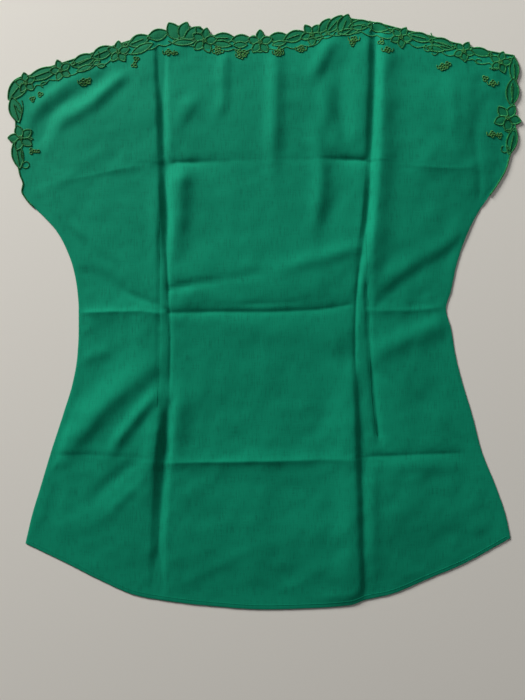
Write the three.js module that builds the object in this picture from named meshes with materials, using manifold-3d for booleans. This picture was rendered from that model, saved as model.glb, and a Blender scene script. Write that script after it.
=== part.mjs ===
// A cap-sleeved blouse lying flat, back uppermost, with an embroidered cutwork border.
//
// Millimetres. X runs across the blouse, Y from the hem to the neck, and Z up from the
// surface that it lies on. The origin is under the middle of the blouse, on that surface.
// The front lies underneath as a flat layer. The back lies on it, with its pressed folds,
// and carries the border along its neck, shoulders and sleeve ends.
import * as THREE from 'three';
import { mergeVertices } from 'three/addons/utils/BufferGeometryUtils.js';
import Module from 'manifold-3d';

const wasm = await Module();
wasm.setup();

// ---- Driving dimensions ----

const CLOTH = 1.4; // wall of the plain cloth
const STITCHED = 1.8; // wall where satin stitch makes the cloth thick
const SEAM = 0.3; // space between two pieces
const FRONT_INSET = 5; // the hidden front stops this far inside the outline
const FRONT_NECK = { centre: -6.5, halfWidth: 109.5, depth: 96, rim: 318 };
const NECK_DROP = { start: 22, length: 30 }; // past the front's neck the back sinks to the surface
const BORDER_FADE = 26; // folds flatten this far from the border
const SLEEVE_START = 121; // the sleeve ends begin at this height

// The left and right edges of the blouse. band is the width of the sleeve's border there.
const LEFT_EDGE = [
  { y: -267, x: -276, band: 0 },
  { y: -235, x: -268.5, band: 0 },
  { y: -200, x: -258, band: 0 },
  { y: -160, x: -246, band: 0 },
  { y: -120, x: -233, band: 0 },
  { y: -80, x: -221, band: 0 },
  { y: -50, x: -216, band: 0 },
  { y: -20, x: -214.5, band: 0 },
  { y: 4, x: -214.5, band: 0 },
  { y: 25, x: -216, band: 0 },
  { y: 50, x: -220.5, band: 0 },
  { y: 75, x: -229.5, band: 0 },
  { y: 95, x: -241, band: 0 },
  { y: 108, x: -252.5, band: 0 },
  { y: 121, x: -266, band: 0 },
  { y: 131, x: -275.5, band: 3.5 },
  { y: 140, x: -280, band: 5 },
  { y: 148, x: -278.5, band: 4 },
  { y: 158, x: -282, band: 7 },
  { y: 167, x: -284, band: 12 },
  { y: 186, x: -289, band: 21 },
  { y: 202, x: -287, band: 21 },
  { y: 220, x: -287, band: 14 },
  { y: 237, x: -292, band: 18 },
  { y: 253, x: -290.5, band: 30 },
  { y: 266, x: -284, band: 30 },
];
const RIGHT_EDGE = [
  { y: -261, x: 284, band: 0 },
  { y: -235, x: 278.5, band: 0 },
  { y: -200, x: 266.5, band: 0 },
  { y: -160, x: 250.5, band: 0 },
  { y: -120, x: 240, band: 0 },
  { y: -80, x: 228, band: 0 },
  { y: -50, x: 220.5, band: 0 },
  { y: -20, x: 215.5, band: 0 },
  { y: 4, x: 209.5, band: 0 },
  { y: 25, x: 215.5, band: 0 },
  { y: 50, x: 220.5, band: 0 },
  { y: 75, x: 228, band: 0 },
  { y: 95, x: 236, band: 0 },
  { y: 115, x: 246.5, band: 0 },
  { y: 132, x: 258, band: 0 },
  { y: 147, x: 268.5, band: 4.5 },
  { y: 166, x: 279, band: 6 },
  { y: 180, x: 283, band: 9 },
  { y: 192, x: 287, band: 17 },
  { y: 205, x: 290, band: 22 },
  { y: 224, x: 289, band: 25 },
  { y: 243, x: 288, band: 20 },
  { y: 259, x: 291.5, band: 17 },
  { y: 271.5, x: 290.5, band: 23 },
  { y: 284, x: 291, band: 23 },
  { y: 296, x: 288, band: 23 },
];

// The top edge, along the left shoulder, the neck and the right shoulder.
const TOP_EDGE = [
  { x: -284, y: 266, band: 13 },
  { x: -260.5, y: 278.5, band: 25.5 },
  { x: -241, y: 285, band: 20 },
  { x: -212, y: 294.5, band: 17 },
  { x: -178, y: 306, band: 22 },
  { x: -143, y: 317, band: 19 },
  { x: -114, y: 325, band: 18.5 },
  { x: -97, y: 330, band: 23 },
  { x: -74, y: 321, band: 17.5 },
  { x: -40, y: 317.5, band: 14.5 },
  { x: -5, y: 316.5, band: 16.5 },
  { x: 29, y: 320.5, band: 15.5 },
  { x: 47, y: 322, band: 15 },
  { x: 64, y: 330, band: 18 },
  { x: 88, y: 339, band: 21 },
  { x: 122.5, y: 335, band: 15 },
  { x: 156, y: 327, band: 20.5 },
  { x: 190, y: 319, band: 17 },
  { x: 225, y: 309, band: 18.5 },
  { x: 250, y: 303, band: 19.5 },
  { x: 267.5, y: 299.5, band: 28 },
  { x: 288, y: 296, band: 30 },
];

// The hem, dipped like a shirt tail.
const HEM = [
  { x: -276, y: -267 },
  { x: -230, y: -289 },
  { x: -185, y: -311.5 },
  { x: -150, y: -326.5 },
  { x: -122.5, y: -332 },
  { x: -70, y: -338.5 },
  { x: 0, y: -343.2 },
  { x: 60, y: -341.5 },
  { x: 100, y: -338 },
  { x: 115.5, y: -332.5 },
  { x: 145, y: -326 },
  { x: 185, y: -309.5 },
  { x: 230, y: -290.5 },
  { x: 284, y: -261 },
];

// The two creases pressed from neck to hem, and the three pressed across the back.
const LONG_CREASES = [
  { y: -335, left: -122.5, right: 115.5 },
  { y: -216, left: -121, right: 111 },
  { y: -193, left: -120, right: 109.5 },
  { y: -136, left: -114.5, right: 106.5 },
  { y: -78, left: -110, right: 105 },
  { y: -40, left: -109, right: 103 },
  { y: 0, left: -108.5, right: 104 },
  { y: 25, left: -109, right: 106.5 },
  { y: 71, left: -112, right: 113.5 },
  { y: 111, left: -114, right: 119 },
  { y: 175, left: -116.5, right: 122.5 },
  { y: 244, left: -119, right: 122.5 },
  { y: 325, left: -120, right: 122.5 },
];
const LOW_CREASE = [
  { x: -250, y: -166 },
  { x: -118, y: -172.5 },
  { x: 0, y: -171.5 },
  { x: 106, y: -168 },
  { x: 255, y: -161 },
];
const WAIST_CREASE = [
  { x: -215, y: -3.5 },
  { x: -108.5, y: 0 },
  { x: 0, y: 3 },
  { x: 104, y: 5 },
  { x: 210, y: 4 },
];
const HIGH_CREASE = [
  { x: -282, y: 150 },
  { x: -235, y: 152 },
  { x: -189, y: 158 },
  { x: -116.5, y: 173 },
  { x: 122.5, y: 174 },
  { x: 185, y: 163.5 },
  { x: 225, y: 161 },
  { x: 276, y: 158 },
];
const CREASE_RIDGE = { long: 3.6, across: 1.9, halfWidth: 7 };

// The largest soft folds, as ridges from one point to another.
const FOLDS = [
  { x1: -260, y1: 207, x2: -205, y2: 252, high: 2.6, wide: 10 }, // left sleeve, outer
  { x1: -235, y1: 194, x2: -162, y2: 262, high: 2.4, wide: 12 }, // left sleeve, inner
  { x1: -226, y1: -160, x2: -122, y2: -75, high: 2.6, wide: 13 }, // left skirt
  { x1: -166, y1: -162, x2: -126, y2: -113, high: 2.2, wide: 10 }, // left skirt, short
  { x1: -228, y1: -180, x2: -246, y2: -245, high: 1.8, wide: 9 }, // along the left side
  { x1: 133, y1: 32, x2: 218, y2: 60, high: 1.8, wide: 10 }, // right waist, above
  { x1: 133, y1: -82, x2: 214, y2: -32, high: 1.6, wide: 11 }, // right waist, below
  { x1: 161, y1: 285, x2: 155, y2: 40, high: 2.4, wide: 15 }, // beside the right crease
  { x1: -80, y1: 157, x2: -82, y2: 68, high: 1.8, wide: 12 }, // beside the left crease
];

// Leaves that shape the border's outer edge: middle, length, width, and turn in degrees.
const LEAVES = [
  { x: -284, y: 259, long: 36, wide: 18, turn: 51 },
  { x: -287.5, y: 233.5, long: 30, wide: 14, turn: 106 },
  { x: -285, y: 182, long: 33, wide: 13, turn: 100 },
  { x: -256, y: 275, long: 38, wide: 13, turn: 20 },
  { x: -209, y: 290, long: 30, wide: 15, turn: 22 },
  { x: -187, y: 299.5, long: 28, wide: 14, turn: 24 },
  { x: -145, y: 313, long: 26, wide: 14, turn: 22 },
  { x: -123, y: 320, long: 24, wide: 13, turn: 14 },
  { x: -105, y: 324, long: 22, wide: 15, turn: 120 },
  { x: -93, y: 325, long: 20, wide: 13, turn: 68 },
  { x: -83, y: 321.5, long: 24, wide: 12, turn: 35 },
  { x: -74, y: 322.5, long: 16, wide: 9, turn: 132 },
  { x: -47.5, y: 316, long: 26, wide: 12, turn: 0 },
  { x: -27, y: 314.5, long: 22, wide: 11, turn: 3 },
  { x: 16, y: 316.5, long: 24, wide: 12, turn: 4 },
  { x: 34.5, y: 318, long: 26, wide: 13, turn: 20 },
  { x: 69, y: 330, long: 21, wide: 10, turn: 52 },
  { x: 80.5, y: 332, long: 27, wide: 12, turn: 48 },
  { x: 92, y: 331, long: 26, wide: 16, turn: 70 },
  { x: 110, y: 331, long: 26, wide: 12, turn: 8 },
  { x: 131, y: 328.5, long: 24, wide: 11, turn: -12 },
  { x: 179.5, y: 317, long: 28, wide: 11, turn: -13 },
  { x: 205, y: 309, long: 31, wide: 14, turn: -17 },
  { x: 249, y: 300, long: 25, wide: 10, turn: -14 },
  { x: 288, y: 280, long: 30, wide: 11, turn: 92 },
  { x: 286, y: 254, long: 32, wide: 15, turn: 86 },
  { x: 285.5, y: 197.5, long: 32, wide: 12, turn: 77 },
];

// Five-petalled flowers: middle, reach of a petal's tip, and turn of the first petal.
const FLOWERS = [
  { x: -275.5, y: 264.5, reach: 12, turn: 100 },
  { x: -281, y: 201, reach: 15, turn: 180 },
  { x: -235, y: 279, reach: 12.5, turn: 110 },
  { x: -168.5, y: 300, reach: 13, turn: 90 },
  { x: -69.5, y: 313, reach: 15, turn: 78 },
  { x: -5, y: 311, reach: 14.5, turn: 90 },
  { x: 54.5, y: 320, reach: 13.5, turn: 55 },
  { x: 157, y: 317, reach: 13, turn: 60 },
  { x: 229.5, y: 300.5, reach: 12.5, turn: 60 },
  { x: 272, y: 288, reach: 13, turn: 75 },
  { x: 280, y: 224, reach: 16.5, turn: -14 },
];
const PETAL_COUNT = 5;
const PETAL_SLENDERNESS = 0.55; // a petal's width over its length

// Eyelets cut out between the leaves: middle, length, width and turn.
const EYELETS = [
  { x: -221, y: 286.5, long: 6, wide: 3.6, turn: 20 },
  { x: -160, y: 308.5, long: 7, wide: 4.4, turn: 25 },
  { x: -133.5, y: 316.5, long: 3.6, wide: 3, turn: 0 },
  { x: 146, y: 325, long: 6, wide: 3.8, turn: -15 },
  { x: 218, y: 305.5, long: 4.6, wide: 3.4, turn: -15 },
  { x: 260.5, y: 297, long: 4.6, wide: 5, turn: 0 },
  { x: 283.5, y: 292, long: 4, wide: 3.6, turn: 0 },
];

// Where the border is parted into its five bands.
const NECK_SPLITS = { left: -114, right: 101 };
const SLEEVE_SPLITS = {
  left: { x: -260.5, y: 253, outX: -282, outY: 272 },
  right: { x: 267.5, y: 271.5, outX: 289, outY: 293 },
};

// Cells of the back's grid between one crease and the next.
const CELLS = { sidePanel: 8, middlePanel: 10, row: 8 };

// ---- Smooth lines through the tables ----

// A smooth line through a table's rows that never swings past them.
function lineThrough(rows, along, across) {
  const at = rows.map((row) => row[along]);
  const value = rows.map((row) => row[across]);
  const last = at.length - 1;
  const rise = at.slice(1).map((t, i) => (value[i + 1] - value[i]) / (t - at[i]));
  const slope = at.map((_, i) => {
    const before = rise[Math.max(i - 1, 0)];
    const after = rise[Math.min(i, last - 1)];
    return before * after <= 0 ? 0 : (2 * before * after) / (before + after);
  });
  return (t) => {
    if (t <= at[0]) return value[0] + slope[0] * (t - at[0]);
    if (t >= at[last]) return value[last] + slope[last] * (t - at[last]);
    const i = at.findIndex((knot, k) => t >= knot && t < at[k + 1]);
    const span = at[i + 1] - at[i];
    const s = (t - at[i]) / span;
    const stay = (1 + 2 * s) * (1 - s) * (1 - s);
    const leave = s * (1 - s) * (1 - s) * span;
    const arrive = s * s * (s - 1) * span;
    return stay * value[i] + leave * slope[i] + (1 - stay) * value[i + 1] + arrive * slope[i + 1];
  };
}

const leftOuter = lineThrough(LEFT_EDGE, 'y', 'x');
const rightOuter = lineThrough(RIGHT_EDGE, 'y', 'x');
const topOuter = lineThrough(TOP_EDGE, 'x', 'y');
const hem = lineThrough(HEM, 'x', 'y');
const leftBand = lineThrough(LEFT_EDGE, 'y', 'band');
const rightBand = lineThrough(RIGHT_EDGE, 'y', 'band');
const topBand = lineThrough(TOP_EDGE, 'x', 'band');

// Lines that run up the back, as x at a height y, and lines across it, as y at a place x.
const upLines = [
  (y) => leftOuter(y) + leftBand(y),
  lineThrough(LONG_CREASES, 'y', 'left'),
  lineThrough(LONG_CREASES, 'y', 'right'),
  (y) => rightOuter(y) - rightBand(y),
];
const acrossLines = [
  hem,
  lineThrough(LOW_CREASE, 'x', 'y'),
  lineThrough(WAIST_CREASE, 'x', 'y'),
  lineThrough(HIGH_CREASE, 'x', 'y'),
  (x) => topOuter(x) - topBand(x),
];

// ---- The back's grid ----

const mix = (a, b, t) => a + (b - a) * t;
const smooth = (t) => {
  const u = THREE.MathUtils.clamp(t, 0, 1);
  return u * u * (3 - 2 * u);
};

// The point where an up line meets a line across.
function crossing(up, across) {
  let point = new THREE.Vector2(up(0), 0);
  for (let turn = 0; turn < 40; turn += 1) {
    const y = across(point.x);
    point = new THREE.Vector2(up(y), y);
  }
  return point;
}

// Steps from 0 to 1 that are close together at both ends, where the creases are.
function crowded(count) {
  return Array.from({ length: count + 1 }, (_, i) => 0.5 - 0.5 * Math.cos((Math.PI * i) / count));
}

// One pressed panel of the back, filled in between its four edges.
function panelPoint(column, row, s, t) {
  const [left, right] = [upLines[column], upLines[column + 1]];
  const [low, high] = [acrossLines[row], acrossLines[row + 1]];
  const corner = [
    [crossing(left, low), crossing(right, low)],
    [crossing(left, high), crossing(right, high)],
  ];
  const along = (line, a, b) => {
    const x = mix(a.x, b.x, s);
    return new THREE.Vector2(x, line(x));
  };
  const upward = (line, a, b) => {
    const y = mix(a.y, b.y, t);
    return new THREE.Vector2(line(y), y);
  };
  const bottom = along(low, corner[0][0], corner[0][1]);
  const top = along(high, corner[1][0], corner[1][1]);
  const west = upward(left, corner[0][0], corner[1][0]);
  const east = upward(right, corner[0][1], corner[1][1]);
  const blend = (axis) => {
    const ruled = mix(bottom[axis], top[axis], t) + mix(west[axis], east[axis], s);
    const lowMix = mix(corner[0][0][axis], corner[0][1][axis], s);
    const highMix = mix(corner[1][0][axis], corner[1][1][axis], s);
    return ruled - mix(lowMix, highMix, t);
  };
  return new THREE.Vector2(blend('x'), blend('y'));
}

// All grid points of the back, row by row from the hem up.
function backGrid() {
  const columns = [CELLS.sidePanel, CELLS.middlePanel, CELLS.sidePanel];
  const rows = [];
  for (let row = 0; row < acrossLines.length - 1; row += 1) {
    const steps = crowded(CELLS.row).slice(row === 0 ? 0 : 1);
    for (const t of steps) {
      const line = [];
      columns.forEach((count, column) => {
        const across = crowded(count).slice(column === 0 ? 0 : 1);
        across.forEach((s) => line.push(panelPoint(column, row, s, t)));
      });
      rows.push(line);
    }
  }
  return rows;
}

// ---- Heights ----

// The front's neck opening: its lowest line, as y at a place x.
function frontNeck(x) {
  const u = (x - FRONT_NECK.centre) / FRONT_NECK.halfWidth;
  return FRONT_NECK.rim - FRONT_NECK.depth * Math.sqrt(Math.max(0, 1 - u * u));
}

// How high the back's underside lies where it is not folded.
function layerHeight(x, y) {
  const past = y - frontNeck(x) - NECK_DROP.start;
  return (CLOTH + SEAM) * (1 - smooth(past / NECK_DROP.length));
}

function ridge(distance, halfWidth) {
  return Math.exp(-((distance / halfWidth) ** 2));
}

function distanceToFold(x, y, fold) {
  const dx = fold.x2 - fold.x1;
  const dy = fold.y2 - fold.y1;
  const reach = ((x - fold.x1) * dx + (y - fold.y1) * dy) / (dx * dx + dy * dy);
  const t = THREE.MathUtils.clamp(reach, 0, 1);
  return Math.hypot(x - fold.x1 - t * dx, y - fold.y1 - t * dy);
}

// The height of the pressed creases and soft folds, faded out towards the border.
function foldHeight(x, y) {
  const { long, across, halfWidth } = CREASE_RIDGE;
  const heights = [
    ...upLines.slice(1, 3).map((line) => long * ridge(x - line(y), halfWidth)),
    ...acrossLines.slice(1, 4).map((line) => across * ridge(y - line(x), halfWidth)),
    ...FOLDS.map((fold) => fold.high * ridge(distanceToFold(x, y, fold), fold.wide)),
  ];
  const total = Math.hypot(...heights);
  const toTop = acrossLines[4](x) - y;
  const toSleeve = Math.min(x - upLines[0](y), upLines[3](y) - x);
  const sleeveFade = y > SLEEVE_START ? smooth(toSleeve / BORDER_FADE) : 1;
  return total * smooth(toTop / BORDER_FADE) * sleeveFade;
}

// ---- Solids ----

function finish(geometry, name, material) {
  geometry.computeVertexNormals();
  const mesh = new THREE.Mesh(geometry, material);
  mesh.name = name;
  return mesh;
}

// A wall of cloth on a grid of points, each lifted to its own height.
function clothWall(grid, heightAt, wall) {
  const rows = grid.length;
  const columns = grid[0].length;
  const positions = [];
  for (const top of [wall, 0]) {
    for (const line of grid) {
      line.forEach((point) => positions.push(point.x, point.y, heightAt(point.x, point.y) + top));
    }
  }
  const layer = rows * columns;
  const id = (row, column) => row * columns + column;
  const faces = [];
  const quad = (a, b, c, d) => faces.push(a, b, c, a, c, d);
  for (let row = 0; row < rows - 1; row += 1) {
    for (let column = 0; column < columns - 1; column += 1) {
      const [a, b] = [id(row, column), id(row, column + 1)];
      const [c, d] = [id(row + 1, column + 1), id(row + 1, column)];
      quad(a, b, c, d);
      quad(layer + a, layer + d, layer + c, layer + b);
    }
  }
  const rim = rimOf(rows, columns);
  rim.forEach((from, i) => {
    const to = rim[(i + 1) % rim.length];
    quad(layer + from, layer + to, to, from);
  });
  const geometry = new THREE.BufferGeometry();
  geometry.setAttribute('position', new THREE.Float32BufferAttribute(positions, 3));
  geometry.setIndex(faces);
  return geometry;
}

// The grid's outer points in order, anticlockwise from above.
function rimOf(rows, columns) {
  const rim = [];
  for (let column = 0; column < columns - 1; column += 1) rim.push(column);
  for (let row = 0; row < rows - 1; row += 1) rim.push(row * columns + columns - 1);
  for (let column = columns - 1; column > 0; column -= 1) rim.push((rows - 1) * columns + column);
  for (let row = rows - 1; row > 0; row -= 1) rim.push(row * columns);
  return rim;
}

// An outline moved outwards, or inwards when the distance is negative.
function moved(outline, distance) {
  return outline.map((point, i) => {
    const before = outline[(i + outline.length - 1) % outline.length];
    const after = outline[(i + 1) % outline.length];
    const way = after.clone().sub(before).normalize();
    return new THREE.Vector2(point.x + way.y * distance, point.y - way.x * distance);
  });
}

function plate(outline, thickness) {
  const shape = new THREE.Shape(outline);
  return new THREE.ExtrudeGeometry(shape, { depth: thickness, bevelEnabled: false });
}

function toSolid(geometry) {
  const bare = geometry.clone();
  bare.deleteAttribute('normal');
  bare.deleteAttribute('uv');
  const merged = mergeVertices(bare);
  return new wasm.Manifold(new wasm.Mesh({
    numProp: 3,
    vertProperties: Float32Array.from(merged.attributes.position.array),
    triVerts: Uint32Array.from(merged.index.array),
  }));
}

function toGeometry(solid) {
  const mesh = solid.getMesh();
  const geometry = new THREE.BufferGeometry();
  geometry.setAttribute('position', new THREE.BufferAttribute(mesh.vertProperties, 3));
  geometry.setIndex(new THREE.BufferAttribute(mesh.triVerts, 1));
  return geometry;
}

// Points from one end of a line to the other.
function sampled(from, to, count, pointAt) {
  return Array.from({ length: count }, (_, i) => pointAt(mix(from, to, i / (count - 1))));
}

// A pointed leaf: two arcs that meet at its tips.
function leafOutline({ x, y, long, wide, turn }, steps) {
  const angle = THREE.MathUtils.degToRad(turn);
  const outline = [];
  for (const side of [1, -1]) {
    for (let i = 0; i < steps; i += 1) {
      const t = i / steps;
      const u = side * (0.5 - t) * long;
      const v = -side * Math.sin(Math.PI * t) ** 0.8 * wide * 0.5;
      outline.push(new THREE.Vector2(
        x - u * Math.cos(angle) - v * Math.sin(angle),
        y - u * Math.sin(angle) + v * Math.cos(angle),
      ));
    }
  }
  return outline;
}

function petalsOf({ x, y, reach, turn }) {
  return Array.from({ length: PETAL_COUNT }, (_, i) => {
    const degrees = turn + (360 / PETAL_COUNT) * i;
    const angle = THREE.MathUtils.degToRad(degrees);
    return {
      x: x + Math.cos(angle) * reach * 0.5,
      y: y + Math.sin(angle) * reach * 0.5,
      long: reach,
      wide: reach * PETAL_SLENDERNESS,
      turn: degrees,
    };
  });
}

// ---- The front ----

function frontOutline() {
  const { centre, halfWidth } = FRONT_NECK;
  const shoulder = (x) => new THREE.Vector2(x, topOuter(x));
  const neckEnds = [centre - halfWidth, centre + halfWidth];
  const outline = [
    ...sampled(HEM[0].x, HEM[HEM.length - 1].x, 24, (x) => new THREE.Vector2(x, hem(x))),
    ...sampled(-255, 292, 28, (y) => new THREE.Vector2(rightOuter(y), y)),
    ...sampled(285, neckEnds[1] + 8, 9, shoulder),
  ];
  const leftRun = [
    ...sampled(neckEnds[0] - 8, -279, 8, shoulder),
    ...sampled(262, -260, 28, (y) => new THREE.Vector2(leftOuter(y), y)),
  ];
  const inset = moved([...outline, ...leftRun], -FRONT_INSET);
  const neck = sampled(neckEnds[1] - 1, neckEnds[0] + 1, 20, (x) => {
    return new THREE.Vector2(x, Math.min(frontNeck(x), 312));
  });
  return [...inset.slice(0, outline.length), ...neck, ...inset.slice(outline.length)];
}

// ---- The embroidered border ----

function stripOutline() {
  const along = (x) => new THREE.Vector2(x, topOuter(x));
  const right = sampled(133, 292, 14, (y) => new THREE.Vector2(rightOuter(y), y));
  const top = sampled(286, -281, 48, along);
  const left = sampled(262, 122, 14, (y) => new THREE.Vector2(leftOuter(y), y));
  return [...right, ...top, ...left];
}

// Everything that the border covers, before it is parted into bands.
function borderSolid(backRim) {
  const solidOf = (outline) => toSolid(plate(outline, STITCHED));
  let solid = solidOf([new THREE.Vector2(0, 0), ...stripOutline()]);
  for (const leaf of [...LEAVES, ...FLOWERS.flatMap(petalsOf)]) {
    solid = solid.add(solidOf(leafOutline(leaf, 6)));
  }
  for (const eyelet of EYELETS) solid = solid.subtract(solidOf(leafOutline(eyelet, 4)));
  return solid.subtract(solidOf(moved(backRim, SEAM)));
}

// The five bands, each as the region of the plane that it fills, anticlockwise.
function bandRegions() {
  const far = 400;
  const spot = (x, y) => new THREE.Vector2(x, y);
  const { left, right } = SLEEVE_SPLITS;
  const beyond = ({ x, y, outX, outY }, reach) => spot(mix(x, outX, reach), mix(y, outY, reach));
  const sunk = -3;
  const raised = 4;
  const neckLeft = [spot(NECK_SPLITS.left, 200), spot(NECK_SPLITS.left, far)];
  const neckRight = [spot(NECK_SPLITS.right, 200), spot(NECK_SPLITS.right, far)];
  const sleeveLeft = [beyond(left, sunk), beyond(left, raised)];
  const sleeveRight = [beyond(right, sunk), beyond(right, raised)];
  return {
    sleeve_border_left: [spot(-far, 100), spot(-200, 100), ...sleeveLeft],
    shoulder_border_left: [sleeveLeft[1], sleeveLeft[0], ...neckLeft],
    neck_border: [neckLeft[1], neckLeft[0], ...neckRight],
    shoulder_border_right: [neckRight[1], neckRight[0], ...sleeveRight],
    sleeve_border_right: [sleeveRight[1], sleeveRight[0], spot(200, 100), spot(far, 100)],
  };
}

// A square corner that moves in by the seam times the root of a half moves both its sides in
// by half the seam. Slivers that a region cuts off the next band are dropped.
function borderBands(backRim, material) {
  const border = borderSolid(backRim);
  return Object.entries(bandRegions()).map(([name, region]) => {
    const inner = moved(region, -SEAM * Math.SQRT1_2);
    const pieces = border.intersect(toSolid(plate(inner, STITCHED))).decompose();
    const band = pieces.sort((a, b) => b.volume() - a.volume())[0];
    const mesh = finish(toGeometry(band), name, material);
    mesh.position.z = name === 'neck_border' ? 0 : CLOTH + SEAM;
    return mesh;
  });
}

// ---- Materials and assembly ----

const green = new THREE.MeshStandardMaterial({ color: 0x128060, roughness: 0.85, metalness: 0 });
const shaded = new THREE.MeshStandardMaterial({ color: 0x0f6b50, roughness: 0.85, metalness: 0 });
const satin = new THREE.MeshStandardMaterial({ color: 0x0b5a38, roughness: 0.55, metalness: 0 });

const grid = backGrid();
const rim = rimOf(grid.length, grid[0].length).map((index) => {
  return grid[Math.floor(index / grid[0].length)][index % grid[0].length];
});
const backHeight = (x, y) => layerHeight(x, y) + foldHeight(x, y);

const blouse = new THREE.Group();
blouse.add(finish(plate(frontOutline(), CLOTH), 'front_panel', shaded));
blouse.add(finish(clothWall(grid, backHeight, CLOTH), 'back_panel', green));
blouse.add(...borderBands(rim, satin));

export default blouse;
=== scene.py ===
# %% [markdown]
# # A blouse laid flat, made as a lesson
# The blouse lies with its back uppermost on a pale surface. The cloth is a light plain weave
# with pressed folds. A cutwork border in satin stitch runs along neck, shoulders and sleeves.
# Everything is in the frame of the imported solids: X to the right, Y up to the neck, Z upwards.

import math
from collections import namedtuple

import bpy
import numpy as np
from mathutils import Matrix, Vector, kdtree
from mathutils.geometry import delaunay_2d_cdt


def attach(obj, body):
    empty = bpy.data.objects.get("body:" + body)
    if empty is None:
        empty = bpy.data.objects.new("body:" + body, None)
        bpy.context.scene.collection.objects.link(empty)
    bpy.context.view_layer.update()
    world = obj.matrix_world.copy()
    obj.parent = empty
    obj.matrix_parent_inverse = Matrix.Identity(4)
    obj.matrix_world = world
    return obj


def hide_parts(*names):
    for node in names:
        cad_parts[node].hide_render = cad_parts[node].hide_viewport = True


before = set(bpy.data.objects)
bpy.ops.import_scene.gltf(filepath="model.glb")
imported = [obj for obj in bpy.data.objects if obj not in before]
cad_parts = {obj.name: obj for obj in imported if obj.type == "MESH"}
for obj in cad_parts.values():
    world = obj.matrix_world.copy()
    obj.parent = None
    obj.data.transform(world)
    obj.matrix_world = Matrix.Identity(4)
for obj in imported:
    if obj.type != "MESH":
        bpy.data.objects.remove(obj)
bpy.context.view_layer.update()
MM = 0.001
print("solids:", sorted(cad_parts))

# %% [markdown]
# ## Camera
# A flat garment is best seen from straight above. The camera hangs over the middle of the
# picture and looks down, with the neck at the top. It comes first, so that every later
# cell can be looked at as soon as it has run.

# %% Camera
CAMERA_OVER = (-2.3, -43.7, 584.4)  # mm
SENSOR, LENS = 36, 26  # mm
scene = bpy.context.scene


def in_scene(name, data):
    """A new object that holds this data, linked to the scene."""
    thing = bpy.data.objects.new(name, data)
    scene.collection.objects.link(thing)
    return thing


camera_data = bpy.data.cameras.new("camera")
camera_data.sensor_width = SENSOR
camera_data.lens = LENS
camera = in_scene("camera", camera_data)
camera.location = Vector(CAMERA_OVER) * MM
scene.camera = camera
print("camera looks down from", tuple(camera.location))

# %% [markdown]
# ## Floor and light
# The floor is a plain pale surface. One broad soft light stands low beyond the left shoulder,
# like a window, because only grazing light shows pressed folds in a flat cloth. A weak light
# on the other side, like the wall of a room, and the pale world fill the shadows.

# %% Floor and light
scene.view_settings.view_transform = "Standard"
FLOOR_HALF = 2.0  # m
FLOOR_COLOUR = (0.785, 0.765, 0.715)
LIGHT_COLOUR = (1.0, 0.98, 0.95)
WORLD_COLOUR = (0.97, 0.98, 1)
# The two lights, in degrees, metres and watts.
WINDOW = {"azimuth": 130, "elevation": 14.5, "distance": 4.0, "size": 0.9, "power": 338}
WALL = {"azimuth": 48, "elevation": 35, "distance": 2.2, "size": 1.6, "power": 9}
WORLD_STRENGTH = 0.06


def material_of(name, roughness, gloss):
    """A material and its shader, with how rough it is and how strongly it mirrors."""
    material = bpy.data.materials.new(name)
    material.use_nodes = True
    shader = material.node_tree.nodes["Principled BSDF"]
    shader.inputs["Roughness"].default_value = roughness
    shader.inputs["Specular IOR Level"].default_value = gloss
    return material, shader


def mesh_object(name, points, faces, materials=(), edges=()):
    mesh = bpy.data.meshes.new(name)
    mesh.from_pydata([tuple(p) for p in points], edges, [tuple(f) for f in faces])
    for material in materials:
        mesh.materials.append(material)
    return in_scene(name, mesh)


floor_material, floor_shader = material_of("pale_floor", roughness=0.95, gloss=0.2)
floor_shader.inputs["Base Color"].default_value = (*FLOOR_COLOUR, 1)
floor_corners = [(-1, -1), (1, -1), (1, 1), (-1, 1)]
floor = mesh_object(
    "floor",
    [(x * FLOOR_HALF, y * FLOOR_HALF, 0) for x, y in floor_corners],
    [(0, 1, 2, 3)],
    [floor_material],
)


def soft_light(name, sizes):
    """A square area light that stands off at an angle and faces the blouse."""
    data = bpy.data.lights.new(name, "AREA")
    data.shape = "SQUARE"
    data.size = sizes["size"]
    data.energy = sizes["power"]
    data.color = LIGHT_COLOUR
    light = in_scene(name, data)
    azimuth, elevation = math.radians(sizes["azimuth"]), math.radians(sizes["elevation"])
    towards = Vector((
        math.cos(elevation) * math.cos(azimuth),
        math.cos(elevation) * math.sin(azimuth),
        math.sin(elevation),
    ))
    light.location = towards * sizes["distance"]
    light.rotation_euler = towards.to_track_quat("Z", "Y").to_euler()


soft_light("window", WINDOW)
soft_light("wall", WALL)

world = bpy.data.worlds.new("world")
world.use_nodes = True
background = world.node_tree.nodes["Background"].inputs
background["Color"].default_value = (*WORLD_COLOUR, 1)
background["Strength"].default_value = WORLD_STRENGTH
scene.world = world
print("floor", FLOOR_HALF * 2, "m wide, light from", WINDOW["azimuth"], "degrees")

# %% [markdown]
# ## The cut, as smooth lines
# A pattern cutter draws each edge through a few measured points with a French curve. The
# same is done here: each table has a few rows in millimetres, and a cubic that never swings
# past its points joins them. The edges have the same rows that shaped the solids. The
# creases have more rows, and lie up to 8 mm from the solids' creases, nearer to the photo's.

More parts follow.
